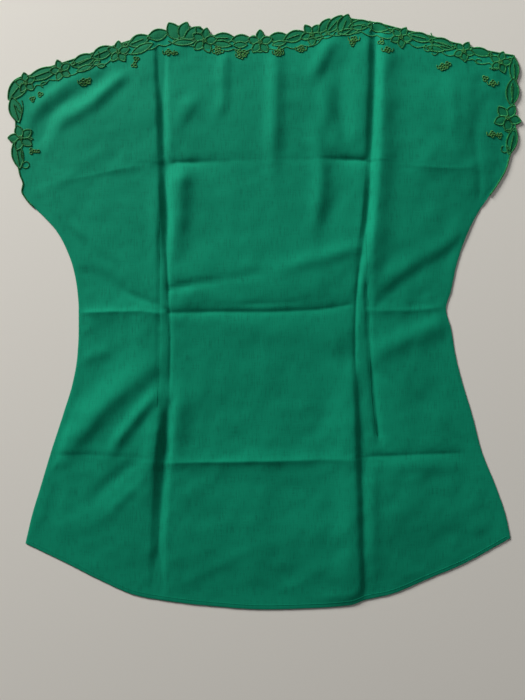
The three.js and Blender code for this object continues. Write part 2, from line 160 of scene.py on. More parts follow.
# %% Smooth lines through a few points
def line_through(at, value):
    at, value = np.array(at, float), np.array(value, float)
    rise = np.diff(value) / np.diff(at)
    before = np.concatenate([rise[:1], rise])
    after = np.concatenate([rise, rise[-1:]])
    same_way = before * after > 0
    slope = np.where(same_way, 2 * before * after / np.where(same_way, before + after, 1), 0)

    def line(t):
        t = np.asarray(t, float)
        i = np.clip(np.searchsorted(at, t, side="right") - 1, 0, len(at) - 2)
        span = at[i + 1] - at[i]
        s = np.clip((t - at[i]) / span, 0, 1)
        stay = (1 + 2 * s) * (1 - s) ** 2
        bend = s * (1 - s) * span * ((1 - s) * slope[i] - s * slope[i + 1])
        inside = stay * value[i] + (1 - stay) * value[i + 1] + bend
        below = slope[0] * np.minimum(t - at[0], 0)
        above = slope[-1] * np.maximum(t - at[-1], 0)
        return inside + below + above

    return line


def sampled(a, b, step):
    """Even places from a to b, about a step apart."""
    return np.linspace(a, b, max(2, int(abs(b - a) / step)))


# %% Tables of the cut
# Left and right edges as (y, x, width of the border there).
LEFT_EDGE = [
    (-267, -276, 0), (-235, -268.5, 0), (-200, -258, 0), (-160, -246, 0), (-120, -233, 0),
    (-80, -221, 0), (-50, -216, 0), (-20, -214.5, 0), (4, -214.5, 0), (25, -216, 0),
    (50, -220.5, 0), (75, -229.5, 0), (95, -241, 0), (108, -252.5, 0), (121, -266, 0),
    (131, -275.5, 3.5), (140, -280, 5), (148, -278.5, 4), (158, -282, 7), (167, -284, 12),
    (186, -289, 21), (202, -287, 21), (220, -287, 14), (237, -292, 18), (253, -290.5, 30),
    (266, -284, 30),
]
RIGHT_EDGE = [
    (-261, 284, 0), (-235, 278.5, 0), (-200, 266.5, 0), (-160, 250.5, 0), (-120, 240, 0),
    (-80, 228, 0), (-50, 220.5, 0), (-20, 215.5, 0), (4, 209.5, 0), (25, 215.5, 0),
    (50, 220.5, 0), (75, 228, 0), (95, 236, 0), (115, 246.5, 0), (132, 258, 0),
    (147, 268.5, 4.5), (166, 279, 6), (180, 283, 9), (192, 287, 17), (205, 290, 22),
    (224, 289, 25), (243, 288, 20), (259, 291.5, 17), (271.5, 290.5, 23), (284, 291, 23),
    (296, 288, 23),
]
# Top edge as (x, y, width of the border there).
TOP_EDGE = [
    (-284, 266, 13), (-260.5, 278.5, 25.5), (-241, 285, 20), (-212, 294.5, 17),
    (-178, 306, 22), (-143, 317, 19), (-114, 325, 18.5), (-97, 330, 23), (-74, 321, 17.5),
    (-40, 317.5, 14.5), (-5, 316.5, 16.5), (29, 320.5, 15.5), (47, 322, 15), (64, 330, 18),
    (88, 339, 21), (122.5, 335, 15), (156, 327, 20.5), (190, 319, 17), (225, 309, 18.5),
    (250, 303, 19.5), (267.5, 299.5, 28), (288, 296, 30),
]
# Hem as (x, y).
HEM = [
    (-276, -267), (-230, -289), (-185, -311.5), (-150, -326.5), (-122.5, -332),
    (-70, -338.5), (0, -343.2), (60, -341.5), (100, -338), (115.5, -332.5), (145, -326),
    (185, -309.5), (230, -290.5), (284, -261),
]
# Creases pressed from neck to hem as (y, left crease's x, right crease's x).
LONG_CREASES = [
    (-335, -121.5, 114.3), (-285, -122, 111.5), (-216, -122.5, 111), (-172, -120, 110.5),
    (-136, -116.5, 108.3), (-101, -112, 107), (-40, -110, 103), (2, -111.2, 103.2),
    (37, -113, 105), (83, -114.8, 110.8), (129, -116.4, 116.8), (198, -119.6, 120.8),
    (244, -120, 121.3), (290, -120.5, 123), (325, -121, 123.5),
]
# Creases pressed across the back, from the lowest to the highest, as (x, y).
LOW_CREASE = [
    (-250, -164), (-122, -172.5), (0, -170), (75, -168), (108, -167), (124, -163), (255, -160),
]
WAIST_CREASE = [
    (-215, -0.6), (-143, 1), (-109, 1.7), (0, 2.5), (64, 5.5), (104, 7), (139, 4.5),
    (167, 5.5), (210, 12),
]
HIGH_CREASE = [
    (-282, 146), (-235, 150), (-189, 159), (-119, 174.5), (0, 178), (98, 178.5),
    (120, 176), (185, 169), (225, 167), (276, 165),
]


def line_of(rows, across=1):
    return line_through([row[0] for row in rows], [row[across] for row in rows])


left_outer, left_band = line_of(LEFT_EDGE), line_of(LEFT_EDGE, 2)
right_outer, right_band = line_of(RIGHT_EDGE), line_of(RIGHT_EDGE, 2)
top_outer, top_band = line_of(TOP_EDGE), line_of(TOP_EDGE, 2)
hem_line = line_of(HEM)
up_lines = [
    lambda y: left_outer(y) + left_band(y),
    line_of(LONG_CREASES),
    line_of(LONG_CREASES, 2),
    lambda y: right_outer(y) - right_band(y),
]
across_lines = [
    hem_line,
    line_of(LOW_CREASE),
    line_of(WAIST_CREASE),
    line_of(HIGH_CREASE),
    lambda x: top_outer(x) - top_band(x),
]
print("width at the waist:", round(float(right_outer(0) - left_outer(0))), "mm")

# %% [markdown]
# ## The pressed folds
# The blouse was folded flat for a long time, so each panel is creased where it was folded,
# and soft rolls lie between the creases. Cloth simulation could make rolls, but not these
# ones in these places. So each fold is listed as a route with a height. A tent has
# straight flanks, a sharp fold has hollow ones, and a soft fold is a bell. Its two sides
# differ in width, and its share fades along the route, because no real fold is even. Minus
# is a trough.

# %% Table of folds
# Heights and widths are in mm. Left and right are the sides as one walks along the route,
# whose points are (x, y, share of the height).
Fold = namedtuple("Fold", "kind high left right route")
FOLDS = [
    # left long crease, hem to neck: its trough, the rolls beside it and the dart seam
    Fold("tent", -2.5, 10, 9, [(-123.6, -339.2, 0.7), (-123.1, -308.2, 0.75), (-122, -273.7, 0.9),
        (-121.1, -250.7, 1), (-119.2, -216.2, 1.1), (-117, -193.2, 1.1), (-115.6, -170.2, 1.1),
        (-113.3, -141.4, 1.1), (-112.8, -121.9, 0.7), (-109.6, -106.9, 0.5), (-108.7, -95.4, 0)]),
    Fold("soft", 3, 14, 8, [(-136.3, -221.9, 0.15), (-132.8, -190.9, 0.6), (-128.8, -170.2, 0.9),
        (-125.9, -154.1, 1), (-123, -138, 1), (-119, -117.3, 0.8), (-114.4, -103.5, 0.3),
        (-111, -92, 0)]),
    Fold("sharp", -2.2, 2.6, 1.6, [(-109.3, -105, 0), (-108.8, -78, 0.55), (-107.6, -32, 0.65),
        (-109, 2, 0.4), (-110.3, 25, 0.75), (-111.8, 60, 1), (-112.8, 75, 0.2)]),
    Fold("sharp", -1, 1.2, 1.6, [(-122.5, -101, 0), (-122, -72, 0.6), (-121.3, -21, 0.8),
        (-121, 37, 0.8), (-121, 89, 0.5), (-120.5, 105, 0)]),
    Fold("tent", -2.7, 7.2, 8, [(-113.3, 57.5, 0), (-112.9, 78.2, 0.8), (-112.4, 100, 1.25),
        (-113.5, 123, 1.25), (-114.9, 151.8, 1.1), (-115.6, 175, 0.75), (-116.6, 197.8, 1.15),
        (-117.5, 232.3, 1.15), (-119.3, 266.8, 1.2), (-119.5, 295.5, 1.2), (-120.2, 330, 1.05)]),
    Fold("soft", 1.2, 9, 5, [(-124, 45, 0.2), (-124, 70, 0.8), (-123, 100, 1), (-123.5, 130, 0.9),
        (-124.5, 155, 0.3)]),
    Fold("sharp", -1, 1.3, 1.3, [(-120.7, 57.5, 0), (-121.3, 79.3, 1), (-120.7, 100, 0.8),
        (-120.2, 115, 0)]),
    Fold("soft", 3.4, 11, 11, [(-104, 57, 0), (-101, 80, 0.6), (-98.5, 110, 1), (-97, 138, 1),
        (-95.5, 154, 1.05), (-94, 166, 0.5)]),
    Fold("soft", 2.2, 8, 12, [(-100, -175, 0.2), (-100, -159, 0.6), (-102, -141, 1),
        (-100, -115, 1), (-97, -95, 0.5), (-94, -72, 0.1)]),
    # right long crease, hem to neck: its trough, the rolls beside it and the dart seam
    Fold("sharp", -1.2, 4, 11, [(115.6, -340.4, 0.6), (114.8, -308.2, 0.85), (113.3, -262.2, 1),
        (112.4, -216.2, 1), (110.9, -170.2, 1), (110.2, -141.4, 1), (109, -115, 0.9),
        (107.9, -95.4, 0.6), (106.7, -78.2, 0.1)]),
    Fold("soft", 2.7, 22, 6.5, [(109, -340.4, 0.7), (108.2, -308.2, 0.75), (105.2, -262.2, 0.8),
        (104.1, -216.2, 0.85), (102.3, -170.2, 1), (101.8, -135.7, 1.1), (101, -101.2, 1.1),
        (99.2, -74.8, 0.75), (97.7, -49.4, 0)]),
    Fold("sharp", -1.9, 3, 2.2, [(105.7, -75, 0), (104.5, -50, 0.8), (104.3, -20, 0.8),
        (105.7, 14, 0.9), (107.7, 37, 1.2), (110.7, 60, 0.6), (112.7, 75, 0)]),
    Fold("sharp", -2.4, 2, 4.5, [(132.1, -151.8, 0.5), (130.4, -141.4, 1.3), (126.7, -112.7, 1.1),
        (124.1, -78.2, 0.8), (119.8, -37.9, 0.7), (118.9, -20.7, 0.7), (117.5, 8, 0.7),
        (116.9, 25.3, 1), (116.7, 48.3, 0.3)]),
    Fold("tent", -2.7, 6.8, 9, [(105.6, 34.5, 0), (109.6, 57.5, 0.25), (114.7, 82.8, 0.85),
        (118.2, 105.8, 1.4), (120.3, 131.1, 1.3), (122, 154.1, 1), (123.7, 197.8, 1),
        (124.9, 232.3, 1), (127, 266.8, 1), (127.4, 295.5, 1), (127.9, 342.7, 0.8)]),
    Fold("soft", 1.7, 16, 5, [(109, 117, 0.2), (111, 169, 0.4), (113, 209, 0.8), (115, 255, 1),
        (117, 301, 1.1), (117, 324, 0.5)]),
    Fold("soft", 3.3, 11, 14, [(116.7, 13.8, 0.1), (122.5, 57.5, 0.8), (125.9, 88.5, 1),
        (127.1, 111.5, 1), (129.9, 151.8, 1.05), (133.4, 197.8, 1.05), (135.7, 232.3, 1),
        (136.8, 289.8, 0.9), (136.8, 324.3, 0.5)]),
    Fold("soft", 1.7, 7, 10, [(124, -180, 0.3), (123.6, -216, 0.9), (124, -285, 0.6),
        (125, -325, 0.15)]),
    # creases across the back, left to right
    Fold("sharp", -3.6, 6, 9, [(-104, 171.9, 0.8), (-92, 172, 1), (-76, 172.6, 0.6),
        (-50, 173.6, 0.2), (0, 175.6, 0.07), (40, 175.8, 0.1), (64, 176.3, 0.15), (85, 176.3, 0.55),
        (98, 175.8, 0.95), (115, 174.8, 1)]),
    Fold("sharp", 0.7, 7, 6, [(-235, 150, 0.3), (-189, 159, 0.8), (-166, 164, 1), (-132, 169, 0.35),
        (-124, 170.5, 0)]),
    Fold("sharp", 0.7, 6, 3, [(150, 170, 0.1), (175, 167, 0.8), (202, 165, 1.1), (222, 165, 0.7),
        (240, 165, 0.1)]),
    Fold("sharp", 2.2, 6, 9, [(-213, -0.6, 1), (-178, 0.5, 1.1), (-143, 1, 0.8), (-116, -2, 0.7)]),
    Fold("sharp", -2, 5, 6.5, [(-109, -0.9, 0.7), (-51, 0.2, 1), (1, -0.1, 1), (30, 0.9, 0.9),
        (64, 2.9, 0.8), (98, 8.4, 0.5)]),
    Fold("sharp", -0.9, 4, 3, [(-40, 8, 0.2), (-10, 9.2, 1), (20, 10, 0.8), (50, 13, 0.2)]),
    Fold("sharp", 1, 5, 4.5, [(118, 1.5, 0.6), (139, 1.2, 0.8), (167, 1.8, 1), (196, 4, 1.1),
        (211, 7, 1)]),
    Fold("sharp", 2.1, 8, 7, [(-118, -174, 0.4), (-103, -173.5, 0.6), (-75, -172.5, 0.9),
        (-51, -172.3, 1.1), (18, -171.1, 1), (75, -169.5, 0.6), (100, -169.5, 0.4)]),
    Fold("sharp", -0.5, 3, 6, [(-241, -164, 0.8), (-201, -164.5, 0.9), (-155, -166, 0.8),
        (-132, -168, 0.5)]),
    Fold("sharp", -1.3, 3.5, 8, [(120, -166, 0.6), (150, -165, 1), (179, -163.5, 0.8),
        (236, -162.5, 0.5), (250, -162, 0.3)]),
    Fold("soft", 0.7, 8, 8, [(128, -180, 0.6), (179, -178, 1), (230, -178, 0.8)]),
    # left sleeve
    Fold("soft", -2, 7, 6.5, [(-263.7, 197.6, 0.5), (-255.7, 213.7, 0.9), (-247.6, 227.5, 1),
        (-230.4, 241.3, 1), (-212, 252.8, 1), (-191.3, 267.7, 0.7), (-179.8, 275.8, 0.1)]),
    Fold("soft", 1.9, 7, 7, [(-247.8, 187.4, 0.2), (-242, 203.5, 0.5), (-231.7, 219.6, 0.75),
        (-214.1, 229.6, 1.1), (-198, 239.9, 1.3), (-181.9, 254.9, 1.3), (-168.1, 267.5, 1.05),
        (-158.9, 275.6, 0.2)]),
    Fold("soft", 0.9, 7, 6, [(-273.1, 213.9, 0.4), (-265.1, 230, 0.9), (-251.3, 246.1, 1),
        (-228.3, 264.5, 0.8), (-212.2, 273.7, 0.3)]),
    # left waist and skirt
    Fold("soft", 3.2, 17, 12, [(-232.2, -166.5, 0.5), (-216.1, -143.5, 0.9), (-190.8, -114.7, 1),
        (-160.9, -87.1, 1), (-133.3, -66.4, 0.6), (-119.5, -57.2, 0.1)]),
    Fold("soft", 2.5, 7, 7, [(-180, -167.9, 0.15), (-173.1, -155.2, 0.5), (-160.4, -136.8, 1),
        (-146.6, -119.6, 1), (-131.7, -102.3, 1), (-121.3, -90.8, 0.3)]),
    Fold("soft", -1.4, 9, 7, [(-198.6, -220.8, 0.3), (-189.4, -208.1, 0.9), (-173.3, -193.2, 1),
        (-157.2, -179.4, 0.8), (-143.4, -170.2, 0.2)]),
    Fold("soft", 1.1, 6, 6, [(-182.8, -239.2, 0.2), (-171.3, -223.1, 0.9), (-155.2, -207, 1),
        (-141.4, -193.2, 0.5)]),
    Fold("soft", 1.3, 8, 5, [(-214.5, -57.5, 0.8), (-200.7, -51.7, 1), (-184.6, -47.1, 0.6),
        (-175.4, -43.7, 0.1)]),
    Fold("sharp", -2.1, 4, 8, [(-212.2, 47.1, 0.8), (-184.6, 40.2, 1), (-154.7, 20.7, 1),
        (-124.8, 9.2, 0.6)]),
    Fold("sharp", -0.5, 4, 4, [(-235.2, 101.2, 0.5), (-193.8, 64.4, 1), (-160.4, 50.6, 0.5)]),
    Fold("sharp", -0.8, 3, 3, [(-213.3, -29.9, 1), (-200.7, -26.4, 0.5), (-193.8, -24.1, 0.1)]),
    # right waist
    Fold("soft", 1.1, 11, 7, [(125.9, 18.4, 0.3), (137.4, 32.2, 0.8), (155.8, 46.6, 1),
        (188, 65.5, 1), (220.2, 83.9, 0.9), (231.7, 90.8, 0.7)]),
    Fold("soft", -0.9, 8, 12, [(137.4, 16.1, 0.5), (155.8, 31, 1), (188, 50.6, 1), (220.2, 69, 1),
        (231.7, 75.9, 0.7)]),
    Fold("soft", 2.3, 12, 13, [(123.6, -49, 0.4), (139.7, -41, 0.8), (155.8, -32.9, 1),
        (190.3, -19.1, 1), (213.3, -11.1, 1)]),
    Fold("sharp", -0.9, 3, 3, [(125.9, -67.8, 0.8), (143.2, -74.8, 1), (160.4, -89.7, 0.8),
        (178.8, -104.6, 0.3)]),
    # middle of the back
    Fold("soft", 3, 7, 8.5, [(9, 146, 0.1), (9, 175, 0.6), (10, 209, 1), (11, 244, 1), (12, 275, 1),
        (12, 298, 0.4)]),
    Fold("soft", 2, 6, 5, [(-52.7, 223.1, 0.1), (-49.3, 234.6, 0.7), (-47, 249.5, 1),
        (-47.5, 272.5, 1), (-45.8, 289.8, 0.9), (-42.4, 299, 0.2)]),
    Fold("soft", 1.5, 11, 7, [(-103.5, 204.7, 0.1), (-96.6, 216.2, 0.8), (-89.7, 230, 1),
        (-83.9, 239.2, 1), (-79.3, 248.4, 0.2)]),
    Fold("soft", 1.22, 8, 7, [(52, 269, 0.3), (62, 288, 1), (71, 306, 0.8), (75, 315, 0.2)]),
    Fold("soft", -1.76, 6, 12, [(94, 192, 0.3), (88, 223, 1), (85, 250, 0.8), (87, 290, 0.2)]),
    Fold("soft", 2.4, 8, 7, [(56.9, 96.6, 0.2), (60.4, 115, 0.9), (63.8, 133.4, 1),
        (65.5, 151.8, 1), (65, 169, 0.7), (62.7, 186.3, 0.7), (58.1, 211.6, 0.5),
        (55.8, 225.4, 0.1)]),
    Fold("soft", 1.6, 7, 7, [(67.3, 207, 0.2), (70.7, 225.4, 1), (69.6, 246.1, 1),
        (66.1, 264.5, 0.3)]),
    Fold("soft", 1.5, 8, 6, [(54.6, 262.2, 0.1), (60.4, 276, 1), (69.6, 292.1, 1),
        (76.5, 305.9, 0.5)]),
    Fold("soft", -1.22, 8, 20, [(66, 83, 0.3), (79, 117, 1), (85, 140, 1), (80, 169, 0.4)]),
    Fold("soft", 1.5, 8, 7, [(15, 50, 0.3), (40, 56, 0.9), (64, 62, 1), (98, 72, 1),
        (108, 75, 0.5)]),
    Fold("sharp", -2.4, 3.5, 3.5, [(-108, 26.7, 1), (-86, 31.2, 1), (-65, 34.2, 0.7),
        (-35, 38.7, 0.5), (-5, 44.7, 0.3)]),
    # right sleeve
    Fold("soft", 1.08, 9, 6, [(216, 198, 0.2), (217, 221, 1), (216, 250, 1), (213, 267, 0.2)]),
    Fold("sharp", -1.1, 3, 3, [(240.9, 211.6, 0.3), (244.4, 186.3, 1), (247.8, 151.8, 1),
        (249, 129.9, 0.8)]),
    Fold("sharp", 0.9, 3, 3, [(250.1, 131.1, 0.8), (261.6, 146, 1), (274.3, 162.1, 0.6)]),
    Fold("soft", -1.2, 10, 15, [(240, 185, 0.3), (246, 225, 1), (247, 262, 0.9)]),
    # faint lines
    Fold("sharp", 0.5, 5, 5, [(-109, -322, 0.6), (-51, -291, 1), (4, -262, 0.8)]),
    Fold("sharp", 0.3, 5, 5, [(18, -325, 0.8), (66, -297, 1)]),
    Fold("sharp", 0.61, 4, 4, [(-252, 123, 0.5), (-218, 97, 1), (-178, 69, 1), (-132, 28, 0.7)]),
    Fold("sharp", 0.41, 4, 4, [(1, -21, 0.4), (1, -61, 1), (-1, -101, 0.5)]),
    Fold("soft", -1.2, 6, 8, [(-258.2, -271.4, 1), (-249, -239.2, 0.9), (-238.6, -202.4, 0.4)]),
    # broad swells
    Fold("soft", 1.4, 75, 28, [(225, 120, 0.3), (228, 170, 1), (232, 230, 1), (232, 275, 0.5)]),
    Fold("soft", 2.5, 60, 60, [(-100, 25, 0.6), (0, 20, 1), (100, 25, 0.6)]),
    Fold("soft", 1.5, 50, 70, [(125, -320, 0.6), (125, -250, 1), (125, -150, 0.8)]),
]
print(len(FOLDS), "folds laid by hand")

# %% [markdown]
# The folds are added up on a fine flat raster of heights. A slight blur rounds the bends of
# the routes, and a little seeded noise gives the cloth its own unevenness. Any later piece
# can then ask for the height at a point, so cloth and embroidery always agree.

# %% Heights of the folds
RASTER = 0.5  # mm
RASTER_FROM = (-312.0, -360.0)
RASTER_CELLS = (1250, 1440)
ROUNDING = 0.55  # mm
FOLD_REACH = 5  # widths from its route at which a fold has run out
UNEVEN = [(2.2, 0.045), (5, 0.13), (12, 0.26)]  # size and height of the unevenness, mm
UNEVEN_SEED = 5
raster_x = RASTER_FROM[0] + RASTER * np.arange(RASTER_CELLS[0])
raster_y = RASTER_FROM[1] + RASTER * np.arange(RASTER_CELLS[1])


def blurred(field, radius):
    up = np.fft.fftfreq(field.shape[0], RASTER)[:, None]
    across = np.fft.rfftfreq(field.shape[1], RASTER)[None, :]
    keep = np.exp(-2 * (np.pi * radius) ** 2 * (up ** 2 + across ** 2))
    return np.fft.irfft2(np.fft.rfft2(field) * keep, s=field.shape)


def nearest_on_route(x, y, route):
    """Distance to the route, with its side as the sign, and the share there."""
    best, side, share = np.full(x.shape, 1e9), np.ones(x.shape), np.zeros(x.shape)
    for (ax, ay, a_share), (bx, by, b_share) in zip(route[:-1], route[1:]):
        dx, dy = bx - ax, by - ay
        t = np.clip(((x - ax) * dx + (y - ay) * dy) / (dx * dx + dy * dy), 0, 1)
        off_x, off_y = x - ax - t * dx, y - ay - t * dy
        distance = np.hypot(off_x, off_y)
        nearer = distance < best
        best = np.where(nearer, distance, best)
        side = np.where(nearer, np.sign(dy * off_x - dx * off_y), side)
        share = np.where(nearer, a_share + t * (b_share - a_share), share)
    return best * side, share


SHAPES = {
    "tent": lambda away: np.maximum(0, 1 - away),
    "sharp": lambda away: np.exp(-away),
    "soft": lambda away: np.exp(-away ** 2),
}


def fold_heights():
    heights = np.zeros((len(raster_y), len(raster_x)))
    for fold in FOLDS:
        reach = FOLD_REACH * max(fold.left, fold.right)
        xs, ys = [p[0] for p in fold.route], [p[1] for p in fold.route]
        in_x = (raster_x > min(xs) - reach) & (raster_x < max(xs) + reach)
        in_y = (raster_y > min(ys) - reach) & (raster_y < max(ys) + reach)
        x, y = np.meshgrid(raster_x[in_x], raster_y[in_y])
        distance, share = nearest_on_route(x, y, fold.route)
        away = np.abs(distance) / np.where(distance < 0, fold.left, fold.right)
        heights[np.ix_(in_y, in_x)] += fold.high * share * SHAPES[fold.kind](away)
    heights = blurred(heights, ROUNDING)
    random = np.random.default_rng(UNEVEN_SEED)
    for size, high in UNEVEN:
        waves = blurred(random.standard_normal(heights.shape), size)
        heights += waves / waves.std() * high
    return heights


relief = fold_heights()


def relief_at(x, y):
    column = np.clip((x - RASTER_FROM[0]) / RASTER, 0, RASTER_CELLS[0] - 1.001)
    row = np.clip((y - RASTER_FROM[1]) / RASTER, 0, RASTER_CELLS[1] - 1.001)
    i, j = row.astype(int), column.astype(int)
    u, v = column - j, row - i
    lower = relief[i, j] * (1 - u) + relief[i, j + 1] * u
    upper = relief[i + 1, j] * (1 - u) + relief[i + 1, j + 1] * u
    return lower * (1 - v) + upper * v


print("folds from", round(relief.min(), 1), "to", round(relief.max(), 1), "mm")

# %% [markdown]
# ## How high the cloth lies
# The back lies on the front, so its top is about a millimetre above the floor at the edges.
# Between them a little trapped air lofts it, and it rises a little more behind the stiff
# border. Past the scooped neck of the front only the floor is below, so troughs go deeper
# there, while the border props the cloth up a little. Seams and hem hold the edges calm, so
# the folds fade towards them. At the side seams the cloth rolls down to meet the front, and
# at the hem it rolls less.

# %% Height of the cloth's top
# All in mm, except the share of a fold's height that is left at the very edge.
BODY_TOP = 0.92
NECK_TOP = 1.4
LOFT = {"high": 2.5, "reach": 90}
EDGE_CALM = {"share": 0.12, "reach": 15}
BORDER_LOFT = {"low": 0.15, "high": 0.4, "reach": 30, "fade": 120}
SIDE_ROLL = {"deep": 0.42, "reach": 4.5}
HEM_ROLL = {"deep": 0.35, "reach": 3}
SLEEVE_START = 121  # y at which the left sleeve's border begins
LOWEST_TOP = {"body": 0.76, "neck": 0.55}
SOFTNESS = 0.2  # how gently the deepest troughs run out on what lies below
EDGE_TOP = 0.5  # never lower than this, so that the underside stays above the floor
FRONT_NECK = {"centre": -6.5, "half_width": 109.5, "depth": 96, "rim": 318}
NECK_DROP = {"start": 22, "length": 30}


def smooth(t):
    t = np.clip(t, 0, 1)
    return t * t * (3 - 2 * t)


def upper_edge(right_ends, top_ends, left_ends, step):
    """The plain edge but for the hem, anticlockwise between these ends, as pieces by name."""
    right_y, top_x, left_y = (sampled(*ends, step) for ends in (right_ends, top_ends, left_ends))
    return {
        "right": np.column_stack([right_outer(right_y), right_y]),
        "top": np.column_stack([top_x, top_outer(top_x)]),
        "left": np.column_stack([left_outer(left_y), left_y]),
    }


def edge_points(step):
    """The whole plain edge of the cut, anticlockwise, as pieces by name."""
    hem_x = sampled(-276, 284, step)
    hem = np.column_stack([hem_x, hem_line(hem_x)])
    return {"hem": hem, **upper_edge((-261, 296), (288, -284), (266, -267), step)}


def tree_of(points):
    tree = kdtree.KDTree(len(points))
    for i, (x, y) in enumerate(points):
        tree.insert((x, y, 0), i)
    tree.balance()
    return tree


fine_edges = edge_points(0.8)
sides = np.concatenate([fine_edges["left"], fine_edges["right"]])
side_tree = tree_of(sides[sides[:, 1] < SLEEVE_START])
hem_tree = tree_of(fine_edges["hem"])
edge_tree = tree_of(np.concatenate(list(fine_edges.values())))
border_tree = tree_of(np.concatenate([fine_edges["top"], sides[sides[:, 1] > SLEEVE_START]]))


def distance_to(tree, x, y):
    return np.array([tree.find((a, b, 0))[2] for a, b in zip(x, y)])


def rolled(distance, roll):
    """How far a rounded edge has dropped at this distance inside it."""
    t = np.clip(1 - distance / roll["reach"], 0, 1)
    return roll["deep"] * (1 - np.sqrt(1 - t * t))


def front_neck(x):
    u = (x - FRONT_NECK["centre"]) / FRONT_NECK["half_width"]
    return FRONT_NECK["rim"] - FRONT_NECK["depth"] * np.sqrt(np.maximum(0, 1 - u * u))


def past_front(x, y):
    return smooth((y - front_neck(x) - NECK_DROP["start"]) / NECK_DROP["length"])


def top_at(x, y):
    x, y = np.asarray(x, float), np.asarray(y, float)
    past = past_front(x, y)
    base = BODY_TOP + (NECK_TOP - BODY_TOP) * past
    lowest = LOWEST_TOP["body"] + (LOWEST_TOP["neck"] - LOWEST_TOP["body"]) * past
    inside = distance_to(edge_tree, x, y)
    loft = LOFT["high"] * smooth(inside / LOFT["reach"])
    calm = EDGE_CALM["share"] + (1 - EDGE_CALM["share"]) * smooth(inside / EDGE_CALM["reach"])
    from_border = distance_to(border_tree, x, y)
    risen = smooth(from_border / BORDER_LOFT["reach"])
    gone = smooth((from_border - BORDER_LOFT["reach"]) / BORDER_LOFT["fade"])
    loft += BORDER_LOFT["high"] * risen * (1 - gone) - BORDER_LOFT["low"] * (1 - risen)
    height = base + loft + relief_at(x, y) * calm - lowest
    height = lowest + SOFTNESS * np.logaddexp(0, height / SOFTNESS)
    drop = rolled(distance_to(side_tree, x, y), SIDE_ROLL)
    drop = np.maximum(drop, rolled(distance_to(hem_tree, x, y), HEM_ROLL))
    return np.maximum(height - drop, EDGE_TOP)


print("top of the cloth at the middle:", round(float(top_at([0], [0])[0]), 2), "mm")

# %% [markdown]
# ## The motifs of the border
# The border is worked before it is cut: leaves and five-petalled flowers are outlined in
# satin stitch, and the cloth outside them is then cut away. Each motif is a row of a table,
# and one formula makes every pointed leaf. A petal is a leaf turned about a flower's middle.

# %% Tables of the motifs
Leaf = namedtuple("Leaf", "x y long wide turn")
Flower = namedtuple("Flower", "x y reach turn")
EDGE_LEAVES = [Leaf(*row) for row in [
    (-284, 259, 36, 18, 51), (-287.5, 233.5, 30, 14, 106), (-285, 182, 33, 13, 100),
    (-256, 275, 38, 13, 20), (-209, 290, 30, 15, 22), (-187, 299.5, 28, 14, 24),
    (-145, 313, 26, 14, 22), (-123, 320, 24, 13, 14), (-105, 324, 22, 15, 120),
    (-93, 325, 20, 13, 68), (-83, 321.5, 24, 12, 35), (-74, 322.5, 16, 9, 132),
    (-47.5, 316, 26, 12, 0), (-27, 314.5, 22, 11, 3), (16, 316.5, 24, 12, 4),
    (34.5, 318, 26, 13, 20), (69, 330, 21, 10, 52), (80.5, 332, 27, 12, 48),
    (92, 331, 26, 16, 70), (110, 331, 26, 12, 8), (131, 328.5, 24, 11, -12),
    (179.5, 317, 28, 11, -13), (205, 309, 31, 14, -17), (249, 300, 25, 10, -14),
    (288, 280, 30, 11, 92), (286, 254, 32, 15, 86), (285.5, 197.5, 32, 12, 77),
]]
INNER_LEAVES = [Leaf(*row) for row in [
    (-141, 304, 27, 9, 27), (-49, 309, 22, 8, -8), (-28, 308, 16, 7, 0),
    (-14.4, 314.5, 10, 6, 60), (16.7, 309.4, 16, 6, 10), (-207.6, 281.2, 19, 6, 22),
    (-274.3, 200, 14, 5, 0), (-193.8, 287.5, 9, 5, 30), (-188, 284, 9, 4.5, 8),
    (197, 303.5, 20, 7, -14), (96, 322.5, 24, 7, 8), (-93, 311, 26, 7, 4),
]]
FLOWERS = [Flower(*row) for row in [
    (-275.5, 264.5, 12, 100), (-281, 201, 15, 180), (-235, 279, 12.5, 110),
    (-168.5, 300, 13, 90), (-69.5, 313, 15, 78), (-5, 311, 14.5, 90), (54.5, 320, 13.5, 55),
    (157, 317, 13, 60), (229.5, 300.5, 12.5, 60), (272, 288, 13, 75), (280, 224, 16.5, -14),
]]
EYELETS = [Leaf(*row) for row in [
    (-221, 286.5, 6, 3.6, 20), (-160, 308.5, 7, 4.4, 25), (-133.5, 316.5, 3.6, 3, 0),
    (146, 325, 6, 3.8, -15), (218, 305.5, 4.6, 3.4, -15), (260.5, 297, 4.6, 5, 0),
    (283.5, 292, 4, 3.6, 0),
]]
PETAL_COUNT = 5
PETAL_SLENDERNESS = 0.62
ROUNDNESS = 0.8  # of a leaf's sides: 1 is a sine, and less is fuller


def petals_of(flower):
    for i in range(PETAL_COUNT):
        turn = flower.turn + i * 360 / PETAL_COUNT
        angle = math.radians(turn)
        half = flower.reach / 2
        yield Leaf(
            flower.x + math.cos(angle) * half,
            flower.y + math.sin(angle) * half,
            flower.reach,
            flower.reach * PETAL_SLENDERNESS,
            turn,
        )


def placed(leaf, u, v):
    """Points u along the leaf and v across it, from its middle."""
    angle = math.radians(leaf.turn)
    x = leaf.x + u * math.cos(angle) - v * math.sin(angle)
    y = leaf.y + u * math.sin(angle) + v * math.cos(angle)
    return np.column_stack([x, y])


def half_width(leaf, t):
    return leaf.wide / 2 * np.sin(np.pi * t) ** ROUNDNESS


def leaf_outline(leaf, steps):
    t = np.linspace(0, 1, steps, endpoint=False)
    half = half_width(leaf, t)
    over = placed(leaf, (0.5 - t) * leaf.long, half)
    under = placed(leaf, (t - 0.5) * leaf.long, -half)
    return np.concatenate([over, under])


